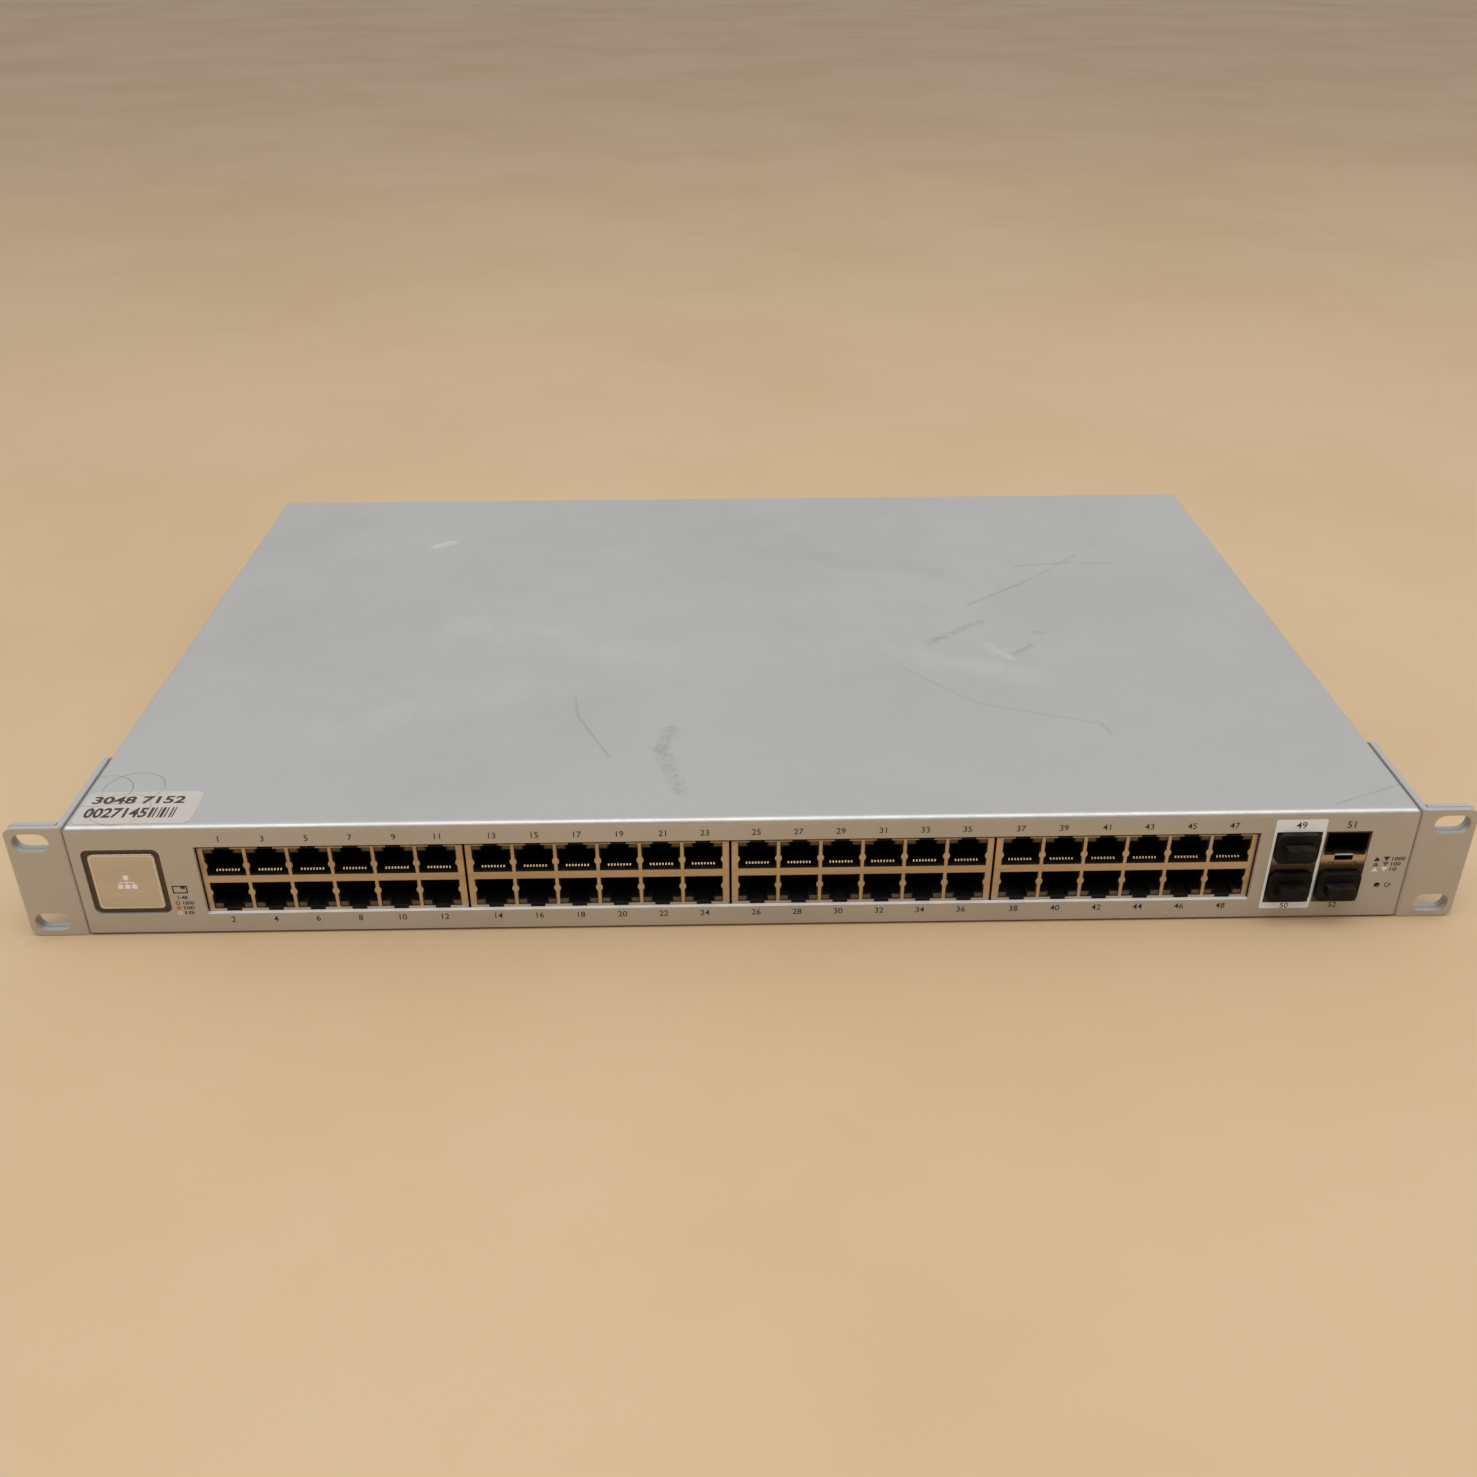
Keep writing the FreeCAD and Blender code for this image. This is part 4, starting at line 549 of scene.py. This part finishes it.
# %% Digits
def text_mesh(text, weight):
    """Figures one unit high or so, thickened all round by weight."""
    curve = bpy.data.curves.new("digits", "FONT")
    curve.body = text
    curve.align_x = "CENTER"
    curve.resolution_u = 3
    curve.offset = weight
    holder = bpy.data.objects.new("digits", curve)
    made = bpy.data.meshes.new_from_object(holder)
    bpy.data.objects.remove(holder)
    return made


def extent(values):
    return min(values), max(values)


def write(sheet, text, x, y, tall, wide=None, weight=0.006, from_left=False):
    """Adds figures, tall mm high, with their middle (or left end) at x and their middle height at y."""
    first = len(sheet.verts)
    made = text_mesh(text, weight)
    left, right = extent([vertex.co.x for vertex in made.vertices])
    low, high = extent([vertex.co.y for vertex in made.vertices])
    sheet.from_mesh(made)
    bpy.data.meshes.remove(made)
    sheet.verts.ensure_lookup_table()
    scale_y = tall / (high - low)
    scale_x = wide / (right - left) if wide else scale_y
    start = x if from_left else x - (right - left) / 2 * scale_x
    for vertex in sheet.verts[first:]:
        across = start + (vertex.co.x - left) * scale_x
        up = y - tall / 2 + (vertex.co.y - low) * scale_y
        vertex.co = (across * MM, up * MM, 0)


# %% Laying a print on a face
INK = 0.03 * MM


def on_front(flat):
    return Vector((flat.x, front_y - INK, flat.y))


def level(height):
    """Lays a print flat, facing up, at a height; its near edge is measured from the case's front."""
    return lambda flat: Vector((flat.x, front_y + flat.y, height + flat.z))


def press(name, sheet, lay, material):
    """Turns a sheet into a piece that lies where lay puts it, and rides on the case."""
    for vertex in sheet.verts:
        vertex.co = lay(vertex.co)
    bmesh.ops.recalc_face_normals(sheet, faces=sheet.faces)
    data = bpy.data.meshes.new(name)
    sheet.to_mesh(data)
    sheet.free()
    data.materials.append(material)
    piece = bpy.data.objects.new(name, data)
    bpy.context.scene.collection.objects.link(piece)
    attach(piece, "chassis")
    print(name, "has", len(data.polygons), "faces")
    return piece


# %% [markdown]
# ## Inks
#
# Screen ink is matt and slightly uneven where the mesh of the screen left it thin. Each ink is a plastic
# finish with a coarse, soft grain. The white ink is given a little blue light of its own, so that it stays
# white in the warm light from the floor. The symbol on the square plate has a faint glow, as painted light.

# %% Ink finishes
dark_ink = plastic("dark_ink", (34, 32, 31), 0.5, 0.65, dust=0.0, grain_scale=1800.0)
label_ink = plastic("label_ink", (58, 46, 38), 0.5, 0.65, dust=0.0, grain_scale=1800.0)
white_ink = plastic("white_ink", (250, 250, 250), 0.45, 0.6, dust=0.0, cloud=0.95,
                    Emission_Color=(0.0, 0.6, 0.85, 1.0), Emission_Strength=0.12)
grey_ink = plastic("grey_ink", (112, 106, 100), 0.5, 0.65, dust=0.0)
orange_ink = plastic("orange_ink", (206, 128, 62), 0.45, 0.6, dust=0.0)
painted_glow_symbol = plastic("painted_glow_symbol", (236, 236, 236), 0.4, 0.5, dust=0.0, cloud=0.94,
                     Emission_Color=screen(226, 234, 242), Emission_Strength=0.16)
# The rim finish is a painted highlight for the square plate's edge.
rim_highlight = plastic("rim_highlight", (235, 234, 230), 0.3, 0.4, dust=0.0, cloud=0.94, Metallic=0.7)

# %% [markdown]
# ## Port numbers
#
# Odd numbers stand over the upper jacks and even numbers under the lower ones. The four jack blocks tell
# where: six columns each, counted from the block's middle. The printing is never quite in step with the
# jacks, so each block has its own small shift and pitch.

# %% Port numbers
COLUMNS = 6
DIGIT_TALL = 2.3
ODD_Z, EVEN_Z = 38.1, 5.7
ODD_SHIFTS = (0.75, 0.9, -0.75, -1.15)
EVEN_SHIFTS = (0.2, 0.5, -0.7, -0.85)
PRINT_PITCHES = (14.2, 13.87, 13.85, 14.07)


def block_middle(number):
    low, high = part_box(f"jack_housing_{number}")
    return (low.x + high.x) / 2 / MM


numbers = bmesh.new()
for block, pitch in enumerate(PRINT_PITCHES):
    for column in range(COLUMNS):
        x = block_middle(block + 1) + (column - (COLUMNS - 1) / 2) * pitch
        upper = 2 * (block * COLUMNS + column) + 1
        write(numbers, str(upper), x + ODD_SHIFTS[block], ODD_Z, DIGIT_TALL)
        write(numbers, str(upper + 1), x + EVEN_SHIFTS[block], EVEN_Z, DIGIT_TALL)
press("port_numbers", numbers, on_front, dark_ink)

# %% [markdown]
# ## The uplink columns
#
# A white band is printed round the first uplink column, to set it apart as the faster pair. Its hole is the
# cage's own opening. The ports are numbered on from the jacks.

# %% Uplink band and numbers
cage_lows, cage_highs = zip(*(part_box(f"uplink_cage_{number}") for number in (1, 2)))
cage_middles = [(low.x + high.x) / 2 / MM for low, high in zip(cage_lows, cage_highs)]
OPENING_HALF = 7.65
OPENING_LOW, OPENING_TOP = 6.65, 35.25
BAND_SIDE = 0.85
BAND_LOW, BAND_TOP = 4.2, 40.2
BAND_CORNER = 0.7
FIRST_UPLINK = 49
UPPER_Z, UPPER_TALL = 37.9, 2.6
LOWER_Z, LOWER_TALL = 5.4, 2.1
INK_STEP = 0.02 * MM

band = bmesh.new()
middle = cage_middles[0]
band_half = OPENING_HALF + BAND_SIDE
outside = box_loop((middle - band_half, BAND_LOW), (middle + band_half, BAND_TOP), BAND_CORNER)
inside = box_loop((middle - OPENING_HALF, OPENING_LOW), (middle + OPENING_HALF, OPENING_TOP))
fill(band, outside, inside)
press("uplink_band", band, on_front, white_ink)

uplink_numbers = bmesh.new()
for column, middle in enumerate(cage_middles):
    upper = FIRST_UPLINK + 2 * column
    write(uplink_numbers, str(upper), middle, UPPER_Z, UPPER_TALL)
    write(uplink_numbers, str(upper + 1), middle, LOWER_Z, LOWER_TALL)
press("uplink_numbers", uplink_numbers, lambda flat: on_front(flat) - Vector((0, INK_STEP, 0)), dark_ink)

# %% [markdown]
# ## Legends beside the ports
#
# To the left of the jacks is a small socket symbol with a key to the light colours, and to the right are
# arrows for the upper and lower uplink lights. Their wording is replaced by link speeds in figures.

# %% Legend shapes
def socket_symbol(sheet, x, z, wide, tall, line):
    """The outline of a jack seen from the front, with a filled block for its latch."""
    left, right, low, top = x - wide / 2, x + wide / 2, z - tall / 2, z + tall / 2
    outside = box_loop((left, low), (right, top))
    inside = box_loop((left + line, low + line), (right - line, top - line))
    fill(sheet, outside, inside)
    latch_left, latch_right = left + 0.58 * wide, right - 1.6 * line
    fill(sheet, box_loop((latch_left, top - 3.0 * line), (latch_right, top - line)))


def triangle(sheet, x, z, side, up=True):
    rise = side * 0.4 * (1 if up else -1)
    fill(sheet, [(x - side / 2, z - rise), (x + side / 2, z - rise), (x, z + rise)])


def light_dot(sheet, x, z, radius, hollow=0.0):
    loops = [circle_loop(x, z, radius)]
    if hollow:
        loops.append(circle_loop(x, z, radius - hollow))
    fill(sheet, *loops)


def restart_arrow(sheet, x, z, radius, line):
    """Three quarters of a ring, ending in an arrowhead: the usual sign for starting again."""
    turns = [math.radians(90 + 270 * step / 18) for step in range(19)]
    outer = [(x + (radius + line / 2) * math.cos(t), z + (radius + line / 2) * math.sin(t)) for t in turns]
    inner = [(x + (radius - line / 2) * math.cos(t), z + (radius - line / 2) * math.sin(t)) for t in turns]
    fill(sheet, outer + inner[::-1])
    head = 1.6 * line
    fill(sheet, [(x + radius - head, z), (x + radius + head, z), (x + radius, z + 1.5 * head)])


# %% Legend places
SOCKET_X, SOCKET_Z = -187.9, 18.2
SOCKET_WIDE, SOCKET_TALL, SOCKET_LINE = 5.0, 3.1, 0.42
RANGE_X, RANGE_Z, RANGE_TALL, RANGE_WIDE = -187.6, 15.0, 1.4, 3.2
LEFT_X = -189.6
KEY_ROWS = (12.7, 10.7, 8.7)
KEY_WIDTHS = (3.7, 3.4, 2.9)
KEY_GAP, KEY_TALL = 1.7, 1.35
DOT = 0.75
RIGHT_X = 210.4
ARROW_ROWS = (24.0, 21.9, 19.8)
ARROW_SIDE = 2.2
ARROW_GAP = 3.2
SPEEDS = ("1000", "100", "10")
SPEED_WIDTHS = (4.4, 3.2, 2.3)
SPEED_GAP, SPEED_TALL = 1.9, 1.5
BOLD = 0.02
RESTART_X, RESTART_Z, RESTART_RADIUS, RESTART_LINE = 216.0, 13.4, 0.8, 0.34


def arrow_pair(sheet, row):
    """An arrow up and an arrow down, for the upper and the lower uplink."""
    for offset in (0, ARROW_GAP):
        triangle(sheet, RIGHT_X + offset, ARROW_ROWS[row], ARROW_SIDE, up=not offset)


# %% Legends

dark = bmesh.new()
socket_symbol(dark, SOCKET_X, SOCKET_Z, SOCKET_WIDE, SOCKET_TALL, SOCKET_LINE)
write(dark, "1-48", RANGE_X, RANGE_Z, RANGE_TALL, RANGE_WIDE, BOLD)
light_dot(dark, LEFT_X, KEY_ROWS[0], DOT, 0.25)
for speed, wide, z in zip(SPEEDS, KEY_WIDTHS, KEY_ROWS):
    write(dark, speed, LEFT_X + KEY_GAP, z, KEY_TALL, wide, BOLD, from_left=True)
arrow_pair(dark, 0)
for speed, wide, z in zip(SPEEDS, SPEED_WIDTHS, ARROW_ROWS):
    write(dark, speed, RIGHT_X + ARROW_GAP + SPEED_GAP, z, SPEED_TALL, wide, BOLD, from_left=True)
restart_arrow(dark, RESTART_X, RESTART_Z, RESTART_RADIUS, RESTART_LINE)
press("dark_legends", dark, on_front, dark_ink)

pale = bmesh.new()
light_dot(pale, LEFT_X, KEY_ROWS[2], DOT, 0.3)
arrow_pair(pale, 2)
press("white_legends", pale, on_front, white_ink)

orange = bmesh.new()
light_dot(orange, LEFT_X, KEY_ROWS[1], DOT)
press("orange_legends", orange, on_front, orange_ink)

grey = bmesh.new()
arrow_pair(grey, 1)
press("grey_legends", grey, on_front, grey_ink)

# %% [markdown]
# ## The bright edge of the jack opening
#
# The lower edge of the long opening catches the light from above as one white line under the jacks. A thin
# pale strip lies on that edge as a painted highlight, so that the line stays white in front of the dark
# openings.

# %% Bright edge
jacks_low, jacks_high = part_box("jack_shield_1")[0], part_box("jack_shield_4")[1]
EDGE_Z = 8.0 * MM
EDGE_ROOM = 0.06 * MM
EDGE_START = 0.1
edge_end = (jacks_low.y - EDGE_ROOM - front_y) / MM
ledge = bmesh.new()
fill(ledge, box_loop((jacks_low.x / MM, EDGE_START), (jacks_high.x / MM, edge_end)))
edge_highlight_finish = plastic("painted_edge_highlight", (246, 246, 244), 0.4, 0.5, dust=0.0, cloud=0.94)
press("opening_edge_highlight", ledge, level(EDGE_Z + INK / 2), edge_highlight_finish)

# %% [markdown]
# ## The glowing symbol on the square plate
#
# The square plate carries a small symbol that glows when the switch is on; no cord is plugged in, so its
# faint glow here is painted light.
# Here it is a plain network tree: one box above, three below, joined by lines. A thin rim inside the plate's
# edge is a painted highlight, brighter than the middle.

# %% Plate symbol
plate_low, plate_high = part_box("logo_plate")
plate_middle = (plate_low + plate_high) / 2 / MM
x, z = plate_middle.x, plate_middle.z
PLATE_INK = 0.015 * MM
BOX_HALF, BOX_NEAR, BOX_FAR, BOX_CORNER = 0.85, 1.0, 2.7, 0.25
LINE_HALF = 0.16
BRANCH = 2.3


def on_plate(flat):
    return Vector((flat.x, plate_low.y - PLATE_INK, flat.y))


symbol = bmesh.new()
fill(symbol, box_loop((x - BOX_HALF, z + BOX_NEAR), (x + BOX_HALF, z + BOX_FAR), BOX_CORNER))
fill(symbol, box_loop((x - LINE_HALF, z), (x + LINE_HALF, z + BOX_NEAR)))
fill(symbol, box_loop((x - BRANCH - LINE_HALF, z - 2 * LINE_HALF), (x + BRANCH + LINE_HALF, z)))
for middle in (x - BRANCH, x, x + BRANCH):
    fill(symbol, box_loop((middle - LINE_HALF, z - BOX_NEAR), (middle + LINE_HALF, z - 2 * LINE_HALF)))
    fill(symbol, box_loop((middle - BOX_HALF, z - BOX_FAR), (middle + BOX_HALF, z - BOX_NEAR), BOX_CORNER))
press("plate_symbol", symbol, on_plate, painted_glow_symbol)

# %% Plate rim, a painted highlight
RIM_IN, RIM_WIDE, RIM_CORNER = 0.4, 0.4, 1.3
plate_half = (plate_high.x - plate_low.x) / 2 / MM
rim = bmesh.new()
loops = []
for inset in (RIM_IN, RIM_IN + RIM_WIDE):
    reach = plate_half - inset
    loops.append(box_loop((x - reach, z - reach), (x + reach, z + reach), RIM_CORNER))
fill(rim, *loops)
press("plate_rim_highlight", rim, on_plate, rim_highlight)

# %% [markdown]
# ## The earth mark at the back
#
# The only print on the rear panel is the usual earth sign beside the brass earth screw: a ring round a stem
# and three bars that get shorter.

# %% Earth mark
def on_back(flat):
    return Vector((flat.x, back_y + INK, flat.y))


earth_middle = sum(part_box("earth_screw"), Vector()) / 2 / MM
EARTH_BARS = ((1.9, 0.3), (1.25, 1.2), (0.6, 2.1))
BAR = 0.4
STEM_LOW, STEM_TOP = -0.25, 2.3
MARK_ACROSS, MARK_RADIUS, MARK_LINE = 9.5, 3.2, 0.35
x, z = earth_middle.x + MARK_ACROSS, earth_middle.z
earth_mark = bmesh.new()
light_dot(earth_mark, x, z, MARK_RADIUS, MARK_LINE)
fill(earth_mark, box_loop((x - BAR / 2, z + STEM_LOW), (x + BAR / 2, z + STEM_TOP)))
for half, drop in EARTH_BARS:
    fill(earth_mark, box_loop((x - half, z - drop - BAR), (x + half, z - drop)))
press("earth_mark", earth_mark, on_back, dark_ink)

# %% [markdown]
# ## The sticker
#
# An asset sticker lies on the front left corner of the cover. It carries two lines of figures and a bar code.
# The bars are drawn from a short run of widths, which is enough to look like a code without being one. The
# film is drawn again here, thinner than its stand-in in the CAD, so that the ink on it stays inside the box.

# %% Sticker film
label_low, label_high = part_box("asset_sticker")
label_left = label_low.x / MM
label_right = label_high.x / MM
label_front = (label_low.y - front_y) / MM
label_back = (label_high.y - front_y) / MM
FILM = 0.08 * MM
FILM_CORNER = 2.8

film = bmesh.new()
fill(film, box_loop((label_left, label_front), (label_right, label_back), FILM_CORNER, 8))
raised = bmesh.ops.extrude_face_region(film, geom=list(film.faces))["geom"]
bmesh.ops.translate(film, verts=[v for v in raised if isinstance(v, bmesh.types.BMVert)], vec=(0, 0, FILM))
film_piece = press("sticker_film", film, level(top_z), finishes["label_film"])
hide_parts("asset_sticker")

# %% Sticker print
BAR_WIDTHS = (1.0, 0.45, 0.55, 1.0, 0.45, 0.45, 1.0, 0.55, 0.45, 1.0, 0.55, 0.45, 0.45, 1.0)
BAR_START, BAR_LOW, BAR_TOP = 23.8, 3.6, 9.6
# figures, their left end and middle height on the sticker, then how tall and how wide they are
LABEL_LINES = (("3048 7152", 2.8, 14.3, 4.6, 30.5), ("0027145", 2.6, 6.6, 6.0, 20.5))
HEAVY = 0.03

print_sheet = bmesh.new()
for text, across, up, tall, wide in LABEL_LINES:
    write(print_sheet, text, label_left + across, label_front + up, tall, wide, HEAVY, from_left=True)
bar_left = label_left + BAR_START
for count, wide in enumerate(BAR_WIDTHS):
    if count % 2 == 0:
        low, high = (bar_left, label_front + BAR_LOW), (bar_left + wide, label_front + BAR_TOP)
        fill(print_sheet, box_loop(low, high))
    bar_left += wide
press("sticker_print", print_sheet, level(top_z + FILM + INK / 2), label_ink)

# %% [markdown]
# ## Floor, light and camera
#
# A plain pale floor gives the case something to stand on and lends its warm tone to the silver front. One
# wide soft light hangs overhead, so that the folds and the lower edges of the openings catch a bright line,
# and a second fills from the front. The studio is pale behind and above, and dark and warm in front.

# %% Floor
FLOOR_HALF = 6.0
FLOOR_GAP = 0.2 * MM
floor_finish = new_finish(
    "floor_finish", bump=0.02, Colour=screen(216, 189, 152), Cloud_Colour=screen(211, 183, 145),
    Grain_Colour=screen(219, 189, 149), Grain_Share=0.3, Grain_Scale=700.0, Cloud_Scale=3.0,
    Smooth=0.6, Rough=0.75)
floor_mesh = bpy.data.meshes.new("floor")
floor_shape = bmesh.new()
bmesh.ops.create_grid(floor_shape, x_segments=8, y_segments=8, size=FLOOR_HALF)
bmesh.ops.translate(floor_shape, verts=floor_shape.verts, vec=(0, 0, cad_low.z - FLOOR_GAP))
floor_shape.to_mesh(floor_mesh)
floor_shape.free()
floor_mesh.materials.append(floor_finish)
floor = bpy.data.objects.new("floor", floor_mesh)
bpy.context.scene.collection.objects.link(floor)


# %% Lights
def softbox(name, place, size, power, colour):
    """A rectangle of light, aimed at the middle of the case's foot."""
    lamp = bpy.data.lights.new(name, "AREA")
    lamp.shape = "RECTANGLE"
    lamp.size, lamp.size_y = size
    lamp.energy = power
    lamp.color = colour
    holder = bpy.data.objects.new(name, lamp)
    bpy.context.scene.collection.objects.link(holder)
    holder.location = place
    holder.rotation_euler = (-Vector(place)).to_track_quat("-Z", "Y").to_euler()


softbox("overhead", place=(0.1, -0.45, 1.6), size=(2.8, 1.3), power=22, colour=(1.0, 0.99, 0.98))
softbox("front_left", place=(-1.0, -1.7, 1.3), size=(1.2, 1.0), power=0.8, colour=(1.0, 0.95, 0.88))

# %% Studio
FRONT_TONE = screen(150, 122, 96)
BACK_TONE = screen(236, 237, 238)
STUDIO_STRENGTH = 0.7
world = bpy.data.worlds.new("studio")
bpy.context.scene.world = world
world.use_nodes = True
sky = world.node_tree
sky.nodes.clear()
direction = node(sky, "ShaderNodeTexCoord").outputs["Generated"]
parts = node(sky, "ShaderNodeSeparateXYZ", {0: direction}).outputs
behind = maths(sky, "ADD", parts["Y"], maths(sky, "MULTIPLY", parts["Z"], 0.6))
tone = blend(sky, spread(sky, behind, -0.3, 0.7), FRONT_TONE, BACK_TONE)
backdrop = node(sky, "ShaderNodeBackground", {"Color": tone, "Strength": STUDIO_STRENGTH})
node(sky, "ShaderNodeOutputWorld", {"Surface": backdrop.outputs[0]})

# %% Camera
CAMERA_PLACE = Vector((-0.0093, -0.5382, 0.3021))
LOOKING_DOWN = 30.17
TURNED_RIGHT = 0.987
LEANING = 0.21
SENSOR, FOCAL_LENGTH = 36.0, 35.29

bpy.context.scene.view_settings.view_transform = "Standard"
lens = bpy.data.cameras.new("camera")
lens.sensor_width = SENSOR
lens.lens = FOCAL_LENGTH
camera = bpy.data.objects.new("camera", lens)
bpy.context.scene.collection.objects.link(camera)
camera.location = CAMERA_PLACE
turn = Euler((math.radians(90 - LOOKING_DOWN), 0, math.radians(-TURNED_RIGHT)), "XYZ").to_matrix()
lean = Euler((0, 0, math.radians(-LEANING)), "XYZ").to_matrix()
camera.rotation_euler = (turn @ lean).to_euler()
bpy.context.scene.camera = camera
bpy.context.view_layer.update()
print("camera axes:", [[round(v, 5) for v in row] for row in camera.matrix_world.to_3x3().transposed()])
